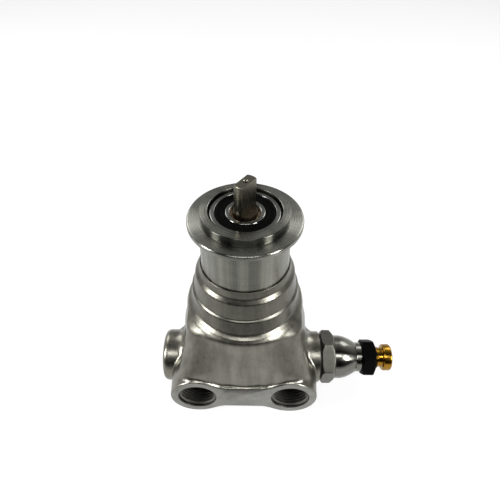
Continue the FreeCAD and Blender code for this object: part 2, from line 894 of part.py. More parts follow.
def kidney(body, side, depth, length):
    """A curved slot through a bearing plate, on the suction or the pressure side."""
    sketch = sketch_on(body, "XY_Plane", depth)
    inner = s.kidney_circle - s.kidney_width / 2
    outer = s.kidney_circle + s.kidney_width / 2
    x = function_of("cos", s.kidney_half_angle)
    y = function_of("sin", s.kidney_half_angle)
    if side > 0:
        points = [
            (inner * x, -(inner * y)),
            (outer * x, -(outer * y), outer),
            (outer * x, outer * y),
            (inner * x, inner * y, -inner),
        ]
    else:
        points = [
            (-(inner * x), inner * y),
            (-(outer * x), outer * y, outer),
            (-(outer * x), -(outer * y)),
            (-(inner * x), -(inner * y), -inner),
        ]
    outline(sketch, points)
    pocket(body, sketch, length, reverse=True)


def bearing_plate(label, z):
    """A plate that closes one end of the pumping chamber and holds a bush for the shaft."""
    bush_outer = s.shaft_radius + s.running_gap + s.bush_wall
    body = ring(label, bush_outer, s.spigot_radius, s.plate_thickness, z=z)
    for side in (-1, 1):
        kidney(body, side, 0, s.plate_thickness)
    dowel = sketch_on(body, "XY_Plane")
    circle(dowel, 0, s.dowel_circle, s.dowel_radius)
    pocket(body, dowel, s.plate_thickness, reverse=True)
    return body


def cartridge():
    """Plates, bushes, eccentric ring, rotor, vanes, and the pin and key that hold them in step."""
    bearing_plate("rear_bearing_plate", rear_plate_floor)
    bearing_plate("front_bearing_plate", front_plate_floor)
    bush_inner = s.shaft_radius + s.running_gap
    bush_outer = bush_inner + s.bush_wall
    ring("rear_bush", bush_inner, bush_outer, s.plate_thickness, z=rear_plate_floor)
    ring("front_bush", bush_inner, bush_outer, s.plate_thickness, z=front_plate_floor)
    cam_ring()
    rotor()
    vanes()
    dowel = listed(doc.addObject("Part::Cylinder", "locating_pin"), "locating_pin")
    bind(dowel, "Radius", s.dowel_radius)
    bind(dowel, "Height", s.dowel_in_body + 2 * s.plate_thickness + s.ring_length)
    place(dowel, y=s.dowel_circle, z=rear_plate_floor - s.dowel_in_body)
    middle = (ring_floor + front_plate_floor) / 2
    radial_block(
        "rotor_key",
        key_floor,
        s.key_height,
        s.key_width,
        s.key_length,
        s.tang_angle,
        middle - s.key_length / 2,
    )


def radial_block(label, inner, depth, width, height, angle, z):
    """A flat-sided block that lies along a radius of the shaft, from the inner radius outwards."""
    block = listed(doc.addObject("Part::Box", label), label)
    bind(block, "Length", depth)
    bind(block, "Width", width)
    bind(block, "Height", height)
    x = function_of("cos", angle)
    y = function_of("sin", angle)
    half = width / 2
    place(block, x=inner * x + half * y, y=inner * y - half * x, z=z, turn=angle)
    return block


def cam_ring():
    """The liner: round outside, its bore off centre towards the ports."""
    body = new_body("cam_ring")
    sketch = sketch_on(body, "XY_Plane")
    circle(sketch, 0, 0, s.spigot_radius)
    circle(sketch, 0, -s.eccentricity, s.ring_bore)
    circle(sketch, 0, s.dowel_circle, s.dowel_radius)
    pad(body, sketch, s.ring_length)
    place(body, z=ring_floor)
    return body


def rotor():
    """The slotted rotor, driven by a key on the shaft."""
    body = new_body("rotor")
    sketch = sketch_on(body, "XY_Plane")
    circle(sketch, 0, 0, rotor_radius)
    circle(sketch, 0, 0, s.shaft_radius)
    pad(body, sketch, rotor_length)
    slot = sketch_on(body, "XY_Plane")
    half = s.vane_thickness / 2 + s.slot_side_gap
    reach = rotor_radius + s.overshoot
    outline(slot, [(slot_floor, -half), (reach, -half), (reach, half), (slot_floor, half)])
    cut = pocket(body, slot, rotor_length, reverse=True)
    repeated(body, cut, s.vane_count)
    doc.recompute()
    keyway = sketch_on(body, "XY_Plane")
    side = s.key_width / 2
    far = -(key_floor + s.key_height)
    outline(keyway, [(far, -side), (-key_floor, -side), (-key_floor, side), (far, side)])
    pocket(body, keyway, rotor_length, reverse=True)
    place(body, z=ring_floor + s.end_gap, turn=s.tang_angle + 180)
    return body


def vanes():
    """Flat carbon vanes, drawn fully in: each tip is flush with the rotor."""
    for number in range(SIZES["vane_count"]):
        angle = s.tang_angle + 180 + 360 / s.vane_count * number
        inner = rotor_radius - s.vane_height
        low = ring_floor + s.end_gap
        radial_block(f"vane_{number + 1}", inner, s.vane_height, s.vane_thickness, rotor_length, angle, low)


def on_valve(x):
    """Where a sub-part of the relief valve goes: its local Z lies along the pump's X."""
    return {"x": x, "y": -s.side_axis, "z": -port_height, "along": "X"}


def relief_valve():
    """The relief valve from its seat in the body to the slotted head of its adjusting screw."""
    skirt_end = s.poppet_length + s.poppet_skirt_length
    sliding_radius = s.spring_room - s.running_gap
    ring("valve_seat", s.orifice_radius, s.valve_chamber, s.valve_seat_length, **on_valve(s.valve_seat_x))
    turned(
        "valve_poppet",
        [
            (0, -s.poppet_nose),
            (s.orifice_radius - s.poppet_nose / 2, -s.poppet_nose),
            (s.orifice_radius, 0),
            (s.poppet_radius, s.poppet_radius - s.orifice_radius),
            (s.poppet_radius, s.poppet_length),
            (sliding_radius, s.poppet_length),
            (sliding_radius, skirt_end),
            (s.poppet_stem, skirt_end),
            (s.poppet_stem, skirt_end + s.poppet_stem_length),
            (0, skirt_end + s.poppet_stem_length),
        ],
        **on_valve(poppet_start),
    )
    spring_start = poppet_start + skirt_end
    coil(
        "valve_spring",
        s.valve_spring_radius,
        s.valve_wire,
        guide_start - spring_start,
        s.valve_spring_turns,
        **on_valve(spring_start + s.valve_wire),
    )
    turned(
        "spring_guide",
        [
            (0, -s.guide_stem_length),
            (s.guide_stem, -s.guide_stem_length),
            (s.guide_stem, 0),
            (sliding_radius, 0),
            (sliding_radius, s.guide_flange),
            (0, s.guide_flange),
        ],
        **on_valve(guide_start),
    )
    ring("valve_gasket", s.gasket_bore, s.gasket_radius, s.gasket_thickness, **on_valve(s.right_boss_end))
    valve_housing()
    adjusting_screw()
    lock_nut()


def hexagon_blank(label, corner, length, ends, **where):
    """A hexagon bar end whose corners are turned off to an outline of (radius, height) corners."""
    bar = doc.addObject("Part::Prism", f"{label}_bar")
    bar.Polygon = 6
    bind(bar, "Circumradius", corner)
    bind(bar, "Height", length)
    sweep = doc.addObject("PartDesign::Body", f"{label}_turning")
    turned_feature(sweep, ends)
    common = doc.addObject("Part::Common", label)
    common.Base = bar
    common.Tool = sweep
    return common


def valve_housing():
    """The bonnet: thread into the boss, hexagon, dome and neck, hollow for the spring."""
    corner = s.hex_across_flats / math.sqrt(3)
    flat_radius = s.hex_across_flats / 2
    hexagon = hexagon_blank(
        "valve_housing_hexagon",
        corner,
        s.hex_length,
        [
            (0, 0),
            (corner - s.hex_back_edge, 0),
            (corner, s.hex_back_edge),
            (corner, s.hex_length - s.hex_chamfer),
            (flat_radius - s.hex_face_inset, s.hex_length),
            (0, s.hex_length),
        ],
    )
    place(hexagon, **on_valve(hex_start), turn=s.hex_flat_angle)
    shell = doc.addObject("PartDesign::Body", "valve_housing_shell")
    thread_start = s.right_boss_end - s.valve_thread_depth - hex_start
    turned_feature(
        shell,
        [
            (0, thread_start),
            (s.valve_thread, thread_start),
            (s.valve_thread, 0),
            (s.dome_radius, 0),
            (s.dome_radius, dome_bend - hex_start, s.dome_curve),
            (s.valve_neck, neck_start - hex_start),
            (s.valve_neck, neck_end - hex_start),
            (0, neck_end - hex_start),
        ],
    )
    place(shell, **on_valve(hex_start))
    blank = doc.addObject("Part::Fuse", "valve_housing_blank")
    blank.Base = shell
    blank.Tool = hexagon
    hollow = doc.addObject("PartDesign::Body", "valve_housing_hollow")
    turned_feature(
        hollow,
        [
            (0, thread_start - s.overshoot),
            (s.spring_room, thread_start - s.overshoot),
            (s.spring_room, s.spring_room_end - hex_start),
            (s.screw_radius + s.running_gap, s.spring_room_end - hex_start),
            (s.screw_radius + s.running_gap, neck_end - hex_start + s.overshoot),
            (0, neck_end - hex_start + s.overshoot),
        ],
    )
    place(hollow, **on_valve(hex_start))
    housing = listed(doc.addObject("Part::Cut", "valve_housing"), "valve_housing")
    housing.Base = blank
    housing.Tool = hollow
    return housing


def adjusting_screw():
    """The slotted brass screw that loads the spring."""
    body = new_body("adjusting_screw")
    head_start = s.screw_thread_end + s.undercut_length
    head_end = head_start + s.head_length
    ring_groove = s.screw_ring_place
    groove_floor = s.screw_radius + s.running_gap - s.screw_ring_groove
    turned_feature(
        body,
        [
            (0, 0),
            (s.screw_radius - s.screw_tip_edge, 0),
            (s.screw_radius, s.screw_tip_edge),
            (s.screw_radius, ring_groove - s.screw_start),
            (groove_floor, ring_groove - s.screw_start),
            (groove_floor, ring_groove + s.screw_ring_groove - s.screw_start),
            (s.screw_radius, ring_groove + s.screw_ring_groove - s.screw_start),
            (s.screw_radius, s.screw_thread_end - s.screw_start),
            (s.undercut_radius, s.screw_thread_end - s.screw_start),
            (s.undercut_radius, head_start - s.screw_start),
            (s.head_radius, head_start - s.screw_start),
            (s.head_radius, head_end - s.screw_start),
            (0, head_end - s.screw_start),
        ],
    )
    doc.recompute()
    for height in (head_start, head_end):
        rim = circular_edges(body, s.head_radius, (0, 0, height - s.screw_start))
        dress(body, "Fillet", rim, s.head_round)
    slot = sketch_on(body, "XY_Plane", head_end - s.screw_start)
    half = s.driver_slot_width / 2
    reach = s.head_radius + s.overshoot
    outline(slot, [(-reach, -half), (reach, -half), (reach, half), (-reach, half)])
    pocket(body, slot, s.driver_slot_depth)
    place(body, **on_valve(s.screw_start), turn=s.driver_slot_angle)
    groove_middle = ring_groove + s.screw_ring_groove / 2
    ring_outer = groove_floor + s.screw_ring_section
    packing_ring("adjusting_screw_o_ring", groove_floor, ring_outer, **on_valve(groove_middle))
    return body


def lock_nut():
    """The black plastic nut that locks the adjusting screw against the bonnet."""
    nut_start = neck_end + s.nut_gap
    cone = s.nut_length - s.nut_cone_length
    blank = hexagon_blank(
        "lock_nut_blank",
        s.nut_corner,
        s.nut_length,
        [
            (0, 0),
            (s.nut_left_round, 0),
            (s.nut_corner, s.nut_left_edge),
            (s.nut_corner, cone),
            (s.nut_cone_end, s.nut_length),
            (0, s.nut_length),
        ],
    )
    bore = doc.addObject("Part::Cylinder", "lock_nut_bore")
    bind(bore, "Radius", s.screw_radius + s.running_gap)
    bind(bore, "Height", s.nut_length)
    nut = listed(doc.addObject("Part::Cut", "lock_nut"), "lock_nut")
    nut.Base = blank
    nut.Tool = bore
    place(nut, **on_valve(nut_start), turn=s.driver_slot_angle)
    return nut


def checked(things):
    """Stops the script where an object failed or a sub-part has no valid solid."""
    doc.recompute()
    for thing in doc.Objects:
        if {"Invalid", "Error"} & set(thing.State):
            raise RuntimeError(f"{thing.Name} did not build: {thing.State}")
    for thing in things:
        shape = thing.Shape
        if shape.isNull() or not shape.isValid() or not shape.Solids:
            raise RuntimeError(f"{thing.Label} has no valid solid")


def write_steps(things):
    os.makedirs("parts", exist_ok=True)
    for thing in things:
        thing.Shape.exportStep(f"parts/{thing.Label}.step")


cast_body()
mounting_adapter()
bearing()
drive_shaft()
shaft_furniture()
shaft_seal_seat()
cartridge()
relief_valve()
checked(sub_parts)
write_steps(sub_parts)
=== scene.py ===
import json
import math
import bmesh
import bpy
import numpy as np
from mathutils import Matrix, Vector


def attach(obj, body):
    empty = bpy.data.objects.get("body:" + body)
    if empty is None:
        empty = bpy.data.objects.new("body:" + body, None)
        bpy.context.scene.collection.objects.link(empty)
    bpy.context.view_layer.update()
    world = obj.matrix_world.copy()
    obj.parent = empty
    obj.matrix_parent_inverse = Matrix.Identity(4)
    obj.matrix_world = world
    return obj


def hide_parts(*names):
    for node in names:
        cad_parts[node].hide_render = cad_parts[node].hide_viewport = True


# Rotary vane pump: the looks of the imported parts. Shapes are worked out in millimetres, stored in metres.

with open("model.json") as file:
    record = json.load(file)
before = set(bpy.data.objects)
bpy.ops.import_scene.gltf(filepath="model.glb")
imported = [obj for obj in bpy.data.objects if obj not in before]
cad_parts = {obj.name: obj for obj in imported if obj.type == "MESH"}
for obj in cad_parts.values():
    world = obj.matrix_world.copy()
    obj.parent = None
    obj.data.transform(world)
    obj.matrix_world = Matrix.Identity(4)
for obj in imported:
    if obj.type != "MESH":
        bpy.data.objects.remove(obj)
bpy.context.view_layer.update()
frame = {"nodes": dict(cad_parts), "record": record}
MM = 0.001

# Stations that the solids also use, in millimetres
PORT_X = 26.56
PORT_Z = -100.8
PORT_FACE = -40.2
PORT_BOSS = 15.05
SIDE_Y = -11.75
SIDE_BOSS = 15.25
LEFT_END = -48.3
RIGHT_END = 44.6
COLLAR_TOP = -28.8
FOOT = -118.5
COLLAR_BORE = 23.5
CAVITY = 20.55
CAVITY_FLOOR = -88.0
SHAFT_ANGLE = math.radians(55)
SLOT_ANGLE = math.radians(43)


# Camera

def make_camera():
    """The photograph's view, solved from the flange, bearing and port circles."""
    pitch = 0.757769802
    yaw = -0.00375710726
    roll = 0.0112804709
    stand = Vector((3.10895805, -168.675654, 137.220437))
    focal_pixels = 448.907690
    frame_pixels = 500
    sensor = 36.0
    forward = Vector((math.sin(yaw) * math.cos(pitch), math.cos(yaw) * math.cos(pitch), -math.sin(pitch)))
    level = Vector((math.cos(yaw), -math.sin(yaw), 0))
    lift = level.cross(forward)
    right = math.cos(roll) * level + math.sin(roll) * lift
    up = -math.sin(roll) * level + math.cos(roll) * lift
    data = bpy.data.cameras.new("view")
    data.sensor_width = sensor
    data.lens = focal_pixels / frame_pixels * sensor
    data.clip_start = 0.01
    data.clip_end = 50
    camera = bpy.data.objects.new("view", data)
    turn = Matrix((right, up, -forward)).transposed().to_4x4()
    camera.matrix_world = Matrix.Translation(stand * MM) @ turn
    bpy.context.scene.collection.objects.link(camera)
    bpy.context.scene.camera = camera


make_camera()


# Node materials

class Nodes:
    """Short names for building one node tree, of a material or of the world."""

    def __init__(self, owner, shader="Principled BSDF"):
        owner.use_nodes = True
        self.owner = owner
        self.tree = owner.node_tree
        self.shader = self.tree.nodes[shader]
        self.place = self.tree.nodes.new("ShaderNodeTexCoord")

    def add(self, kind, **settings):
        node = self.tree.nodes.new(kind)
        for key, value in settings.items():
            if key in node.bl_rna.properties:
                setattr(node, key, value)
            else:
                node.inputs[key.replace("_", " ")].default_value = value
        return node

    def link(self, source, output, target, socket):
        self.tree.links.new(source.outputs[output], target.inputs[socket])

    def feed(self, socket, value):
        """Links a (node, output) pair to a socket, or sets a plain number or colour on it."""
        if isinstance(value, tuple) and hasattr(value[0], "outputs"):
            self.tree.links.new(value[0].outputs[value[1]], socket)
        elif hasattr(value, "__len__"):
            socket.default_value = (*value, 1)
        else:
            socket.default_value = value if socket.type == "VALUE" else (value, value, value, 1)

    def set(self, **values):
        for key, value in values.items():
            self.shader.inputs[key.replace("_", " ")].default_value = value

    def parts(self, output="Object"):
        """The coordinates of the place, each on an output of its own."""
        node = self.add("ShaderNodeSeparateXYZ")
        self.link(self.place, output, node, "Vector")
        return node

    def stretched(self, scale, centre=(0, 0, 0)):
        """Object coordinates in metres from a centre, stretched by a scale along each axis."""
        mapping = self.add("ShaderNodeMapping")
        mapping.inputs["Scale"].default_value = scale
        mapping.inputs["Location"].default_value = [-c * k for c, k in zip(centre, scale)]
        self.link(self.place, "Object", mapping, "Vector")
        return mapping

    def noise(self, scale, detail=2.0, roughness=0.5, where=None):
        node = self.add("ShaderNodeTexNoise", Scale=scale, Detail=detail, Roughness=roughness)
        if where is None:
            self.link(self.place, "Object", node, "Vector")
        else:
            self.link(where, "Vector", node, "Vector")
        return node

    def ramp(self, source, output, stops):
        """A colour ramp from (position, grey or colour) stops."""
        node = self.add("ShaderNodeValToRGB")
        elements = node.color_ramp.elements
        while len(elements) > 1:
            elements.remove(elements[-1])
        for i, (place, colour) in enumerate(stops):
            element = elements[0] if i == 0 else elements.new(place)
            element.position = place
            element.color = (*colour, 1) if hasattr(colour, "__len__") else (colour, colour, colour, 1)
        self.link(source, output, node, "Fac")
        return node

    def mix(self, factor, first, second, kind="MIX"):
        """A colour mix, whose colours are the node's inputs 6 and 7, and its output 2."""
        node = self.add("ShaderNodeMix", data_type="RGBA", blend_type=kind)
        for socket, value in zip((0, 6, 7), (factor, first, second)):
            self.feed(node.inputs[socket], value)
        return node

    def math(self, operation, *values):
        node = self.add("ShaderNodeMath", operation=operation)
        for socket, value in zip(node.inputs, values):
            self.feed(socket, value)
        return node

    def bump(self, source, output, distance, below=None):
        node = self.add("ShaderNodeBump", Strength=1.0, Distance=distance)
        self.link(source, output, node, "Height")
        if below is not None:
            self.link(below, "Normal", node, "Normal")
        return node

    def radius(self, axis, centre):
        """Vector square to a line through centre along the named axis, and its length, in metres."""
        square = self.stretched([0.0 if name == axis else 1.0 for name in "XYZ"], centre)
        length = self.add("ShaderNodeVectorMath", operation="LENGTH")
        self.link(square, "Vector", length, 0)
        return square, length


def cast_steel():
    """Bead-blasted casting: satin grey with fine grain and faint mottling, and painted shade that makes the
    collar darker.
    """
    n = Nodes(bpy.data.materials.new("cast_steel"))
    broad = n.noise(70, 3, 0.55)
    patches = n.noise(420, 4, 0.6)
    grain = n.noise(5200, 2, 0.7)
    tone = n.ramp(broad, "Fac", [(0.3, (0.175, 0.17, 0.143)), (0.7, (0.21, 0.204, 0.174))])
    spots = n.ramp(patches, "Fac", [(0.35, 0.88), (0.65, 1.0)])
    colour = n.mix(1.0, (tone, "Color"), (spots, "Color"), "MULTIPLY")
    brushed = n.noise(1.0, 3, 0.6, n.stretched((230, 230, 14)))
    stroke = n.ramp(brushed, "Fac", [(0.36, 0.8), (0.64, 1.08)])
    colour = n.mix(1.0, (colour, 2), (stroke, "Color"), "MULTIPLY")
    # Painted shade: darker from the collar's foot upwards
    above = n.math("ADD", (n.parts(), "Z"), 0.06)
    collar = n.ramp(above, "Value", [(0.0035, 1.0), (0.0075, 0.74)])
    colour = n.mix(1.0, (colour, 2), (collar, "Color"), "MULTIPLY")
    n.link(colour, 2, n.shader, "Base Color")
    rough = n.ramp(patches, "Fac", [(0.3, 0.27), (0.7, 0.34)])
    n.link(rough, "Color", n.shader, "Roughness")
    n.set(Metallic=1.0)
    coarse = n.bump(patches, "Fac", 0.00003)
    fine = n.bump(grain, "Fac", 0.000012, coarse)
    n.link(fine, "Normal", n.shader, "Normal")
    return n.owner


def milled_steel(name, low, high):
    """Flat face ground after casting: fine parallel lines."""
    n = Nodes(bpy.data.materials.new(name))
    lines = n.noise(1.0, 3, 0.7, n.stretched((120, 120, 14000)))
    broad = n.noise(160, 3, 0.5)
    tone = n.ramp(broad, "Fac", [(0.3, low), (0.7, high)])
    streak = n.ramp(lines, "Fac", [(0.3, 0.82), (0.7, 1.0)])
    colour = n.mix(1.0, (tone, "Color"), (streak, "Color"), "MULTIPLY")
    n.link(colour, 2, n.shader, "Base Color")
    rough = n.ramp(lines, "Fac", [(0.3, 0.3), (0.7, 0.42)])
    n.link(rough, "Color", n.shader, "Roughness")
    n.set(Metallic=1.0)
    n.link(n.bump(lines, "Fac", 0.00001), "Normal", n.shader, "Normal")
    return n.owner


def turned_steel(name, axis="Z", centre=(0, 0, 0), colour=(0.26, 0.26, 0.232), rough=0.25, lines=9000,
                 depth=0.0000015, spread=0.9, bands=0.8, grooves=0.96, sectors=2.6):
    """Lathe-turned metal: rings about an axis, highlights drawn out across them, and darker sectors round the
    axis that are painted reflection. There are so many lines to the metre, bands and grooves say how dark the
    painted sectors and coarse rings get, and spread is the anisotropy."""
    n = Nodes(bpy.data.materials.new(name))
    square, across = n.radius(axis, centre)
    both = n.add("ShaderNodeCombineXYZ")
    n.link(across, "Value", both, "X")
    n.link(n.parts(), axis, both, "Y")
    ring_scale = n.add("ShaderNodeMapping")
    ring_scale.inputs["Scale"].default_value = (lines, lines, 1)
    n.link(both, "Vector", ring_scale, "Vector")
    rings = n.noise(1.0, 3, 0.6, ring_scale)
    broad = n.noise(130, 3, 0.5)
    dark = tuple(0.86 * c for c in colour)
    tone = n.ramp(broad, "Fac", [(0.3, dark), (0.7, colour)])
    streak = n.ramp(rings, "Fac", [(0.3, 0.9), (0.7, 1.0)])
    mixed = n.mix(1.0, (tone, "Color"), (streak, "Color"), "MULTIPLY")
    coarse = n.noise(0.11, 2, 0.8, ring_scale)
    groove = n.ramp(coarse, "Fac", [(0.38, grooves), (0.6, 1.0)])
    mixed = n.mix(1.0, (mixed, 2), (groove, "Color"), "MULTIPLY")
    # Painted reflection: darker sectors round the axis, put into the colour
    facing = n.add("ShaderNodeVectorMath", operation="NORMALIZE")
    n.link(square, "Vector", facing, 0)
    around = n.noise(sectors, 3, 0.6, facing)
    band = n.ramp(around, "Fac", [(0.43, bands), (0.57, 1.0)])
    mixed = n.mix(1.0, (mixed, 2), (band, "Color"), "MULTIPLY")
    n.link(mixed, 2, n.shader, "Base Color")
    roughness = n.ramp(rings, "Fac", [(0.3, rough * 0.8), (0.7, rough * 1.25)])
    n.link(roughness, "Color", n.shader, "Roughness")
    n.set(Metallic=1.0, Anisotropic=spread, Anisotropic_Rotation=0.25)
    tangent = n.add("ShaderNodeTangent", direction_type="RADIAL", axis=axis)
    n.link(tangent, "Tangent", n.shader, "Tangent")
    n.link(n.bump(rings, "Fac", depth), "Normal", n.shader, "Normal")
    return n.owner


def shaft_steel():
    """Ground shaft, dull on its flats, with brown staining where it stands in the bearing."""
    n = Nodes(bpy.data.materials.new("shaft_steel"))
    height = n.parts()
    broad = n.noise(260, 4, 0.6)
    uneven = n.math("MULTIPLY_ADD", (broad, "Fac"), 0.008, (height, "Z"))
    stain = n.ramp(uneven, "Value", [(0.0055, 0.95), (0.0095, 0.0)])
    scratch = n.noise(1.0, 4, 0.6, n.stretched((2500, 2500, 260)))
    plain = n.ramp(scratch, "Fac", [(0.3, (0.1, 0.094, 0.072)), (0.7, (0.165, 0.157, 0.122))])
    brown = n.ramp(broad, "Fac", [(0.35, (0.035, 0.02, 0.01)), (0.65, (0.2, 0.115, 0.06))])
    end = n.ramp(height, "Z", [(0.0199, 0.0), (0.0201, 0.6)])
    cleaner = n.mix((end, "Color"), (plain, "Color"), (0.34, 0.33, 0.28))
    colour = n.mix((stain, "Color"), (cleaner, 2), (brown, "Color"))
    n.link(colour, 2, n.shader, "Base Color")
    rough = n.ramp(scratch, "Fac", [(0.3, 0.24), (0.7, 0.36)])
    n.link(rough, "Color", n.shader, "Roughness")
    n.set(Metallic=1.0)
    n.link(n.bump(scratch, "Fac", 0.00002), "Normal", n.shader, "Normal")
    return n.owner


def dark_stuff(name, colour, rough, gloss, grain=2400):
    """Rubber, plastic and graphite: near black with a fine grain."""
    n = Nodes(bpy.data.materials.new(name))
    fine = n.noise(grain, 3, 0.6)
    broad = n.noise(300, 3, 0.5)
    tone = n.ramp(broad, "Fac", [(0.3, tuple(0.7 * c for c in colour)), (0.7, colour)])
    n.link(tone, "Color", n.shader, "Base Color")
    roughness = n.ramp(fine, "Fac", [(0.3, rough * 0.85), (0.7, rough * 1.15)])
    n.link(roughness, "Color", n.shader, "Roughness")
    n.set(Specular_IOR_Level=gloss)
    n.link(n.bump(fine, "Fac", 0.00001), "Normal", n.shader, "Normal")
    return n.owner


def ceramic():
    """The seal seat's pale ceramic, faintly specked."""
    n = Nodes(bpy.data.materials.new("ceramic"))
    speck = n.noise(3000, 2, 0.5)
    tone = n.ramp(speck, "Fac", [(0.3, (0.78, 0.77, 0.72)), (0.7, (0.86, 0.85, 0.81))])
    n.link(tone, "Color", n.shader, "Base Color")
    n.set(Roughness=0.2)
    return n.owner


VALVE_LINE = (0, SIDE_Y * MM, PORT_Z * MM)
CAST = cast_steel()
MILLED = milled_steel("milled_steel", (0.205, 0.203, 0.186), (0.273, 0.27, 0.247))
HEX_FACES = milled_steel("hexagon_steel", (0.108, 0.106, 0.093), (0.144, 0.141, 0.123))
THREAD = milled_steel("thread_steel", (0.1, 0.098, 0.086), (0.15, 0.147, 0.13))
# Near-black painted shade for the bores, the cavity and the groove round the bearing
BORE_SHADE = milled_steel("bore_painted_shade", (0.035, 0.033, 0.028), (0.055, 0.052, 0.045))
TURNED = turned_steel("turned_steel")
# The adapter's neck: a darker copy of the turned steel with deeper sectors, painted shade and painted
# reflection bands
NECK_SHADE = turned_steel("neck_painted_shade", colour=(0.235, 0.235, 0.205), bands=0.62, sectors=3.2)
# The pilot's wall: a much darker copy of the turned steel, painted shade and painted reflection of the flange's
# top
PILOT_SHADE = turned_steel("pilot_painted_shade", colour=(0.1, 0.1, 0.087), rough=0.27, spread=0.97)
VALVE_TURNED = turned_steel("valve_turned", "X", VALVE_LINE, (0.19, 0.187, 0.165), rough=0.2, lines=2500,
                            depth=0.000001, spread=0.8, bands=0.9, grooves=0.95)
BEARING = turned_steel("bearing_steel", colour=(0.19, 0.192, 0.18), rough=0.2, lines=15000, depth=0.000001,
                       bands=0.9, grooves=1.0)
SHAFT = shaft_steel()
BRASS = turned_steel("brass", "X", VALVE_LINE, (0.34, 0.182, 0.021), rough=0.18, lines=3000,
                     depth=0.000001, spread=0.4, bands=0.9, grooves=0.95)
WIRE = turned_steel("spring_wire", colour=(0.3, 0.3, 0.3), rough=0.3, lines=4000, depth=0.000002, spread=0.2)
RUBBER = dark_stuff("rubber", (0.0014, 0.0014, 0.0013), 0.4, 0.02)
GASKET = dark_stuff("gasket", (0.02, 0.018, 0.016), 0.6, 0.15)
PLASTIC = dark_stuff("plastic", (0.0008, 0.0008, 0.0009), 0.45, 0.03, 3500)
CARBON = dark_stuff("carbon", (0.055, 0.056, 0.06), 0.42, 0.3, 6000)
CERAMIC = ceramic()
BY_SLOT = {
    "cast_stainless": CAST,
    "machined_stainless": TURNED,
    "shaft_steel": SHAFT,
    "bearing_steel": BEARING,
    "spring_steel": WIRE,
    "black_rubber": RUBBER,
    "dark_gasket": GASKET,
    "seal_ceramic": CERAMIC,
    "carbon": CARBON,
    "black_plastic": PLASTIC,
    "brass": BRASS,
}


# Mesh building

def new_piece(name, points, faces, materials, body, nodes=(), sharp=None):
    """A mesh piece from points in millimetres, riding on a body and standing for CAD nodes."""
    mesh = bpy.data.meshes.new(name)
    mesh.from_pydata((np.asarray(points, float) * MM).tolist(), [], faces)
    mesh.validate()
    mesh.shade_smooth()
    if sharp is not None:
        mesh.set_sharp_from_angle(angle=math.radians(sharp))
    piece = bpy.data.objects.new(name, mesh)
    bpy.context.scene.collection.objects.link(piece)
    for material in materials:
        mesh.materials.append(material)
    if body is not None:
        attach(piece, body)
        if nodes:
            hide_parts(*nodes)
    return piece


def rounded(corners, steps=6):
    """A closed outline from corners, each (a, b) for a sharp one or (a, b, fillet radius)."""
    made = []
    count = len(corners)
    for i, corner in enumerate(corners):
        here = np.array(corner[:2], float)
        if len(corner) == 2:
            made.append(here)
            continue
        before = np.array(corners[i - 1][:2], float) - here
        after = np.array(corners[(i + 1) % count][:2], float) - here
        u = before / np.linalg.norm(before)
        v = after / np.linalg.norm(after)
        half = math.acos(np.clip(u @ v, -1, 1)) / 2
        reach = corner[2] / math.tan(half)
        centre = here + (u + v) / np.linalg.norm(u + v) * corner[2] / math.sin(half)
        first = here + u * reach - centre
        last = here + v * reach - centre
        sweep = math.atan2(first[0] * last[1] - first[1] * last[0], first @ last)
        for k in range(steps + 1):
            a = sweep * k / steps
            turn = np.array([[math.cos(a), -math.sin(a)], [math.sin(a), math.cos(a)]])
            made.append(centre + turn @ first)
    return np.array(made)


def along(points, axis, start):
    """Moves points made about Z at the origin onto a line along X, Y or Z that starts at a place."""
    points = np.asarray(points, float)
    if axis == "X":
        points = np.stack([points[:, 2], points[:, 1], -points[:, 0]], 1)
    if axis == "Y":
        points = np.stack([points[:, 0], -points[:, 2], points[:, 1]], 1)
    return points + np.array(start, float)


def lathe(name, corners, material, body, nodes=(), axis="Z", start=(0, 0, 0), turns=192):
    """Turns a closed outline of (radius, height) corners about an axis. A corner on the axis has radius 0."""
    outline = rounded(corners)
    rows = len(outline)
    angles = np.arange(turns) / turns * 2 * math.pi
    points = []
    index = np.zeros((rows, turns), int)
    for r, (radius, height) in enumerate(outline):
        if radius < 1e-6:
            index[r] = len(points)
            points.append((0, 0, height))
            continue
        index[r] = len(points) + np.arange(turns)
        points.extend(zip(radius * np.cos(angles), radius * np.sin(angles), [height] * turns))
    faces = []
    for r in range(rows):
        s = (r + 1) % rows
        on_axis = (outline[r][0] < 1e-6, outline[s][0] < 1e-6)
        if all(on_axis):
            continue
        for k in range(turns):
            m = (k + 1) % turns
            ring = [index[r][k], index[r][m], index[s][m], index[s][k]]
            if on_axis[0]:
                ring = [index[r][k], index[s][m], index[s][k]]
            if on_axis[1]:
                ring = [index[r][k], index[r][m], index[s][k]]
            faces.append(ring)
    materials = [material] if material else []
    piece = new_piece(name, along(points, axis, start), faces, materials, body, nodes, 50)
    fix_normals(piece)
    return piece


def paint(piece, material, radii, heights):
    """Gives another material to the faces of a turned piece between two radii and two heights."""
    mesh = piece.data
    mesh.materials.append(material)
    for face in mesh.polygons:
        x, y, z = (c / MM for c in face.center)
        if radii[0] < math.hypot(x, y) < radii[1] and heights[0] < z < heights[1]:
            face.material_index = len(mesh.materials) - 1


def fix_normals(piece):
    """Turns all faces outwards if the mesh encloses a negative volume."""
    bm = bmesh.new()
    bm.from_mesh(piece.data)
    if bm.calc_volume(signed=True) < 0:
        bmesh.ops.reverse_faces(bm, faces=bm.faces)
        bm.to_mesh(piece.data)
    bm.free()


def cut(piece, cutter):
    """Takes the cutter's volume out of the piece."""
    modifier = piece.modifiers.new("cut", "BOOLEAN")
    modifier.object = cutter
    modifier.operation = "DIFFERENCE"
    modifier.solver = "MANIFOLD"
    graph = bpy.context.evaluated_depsgraph_get()
    mesh = bpy.data.meshes.new_from_object(piece.evaluated_get(graph))
    piece.modifiers.clear()
    old = piece.data
    piece.data = mesh
    bpy.data.meshes.remove(old)
    bpy.data.objects.remove(cutter)


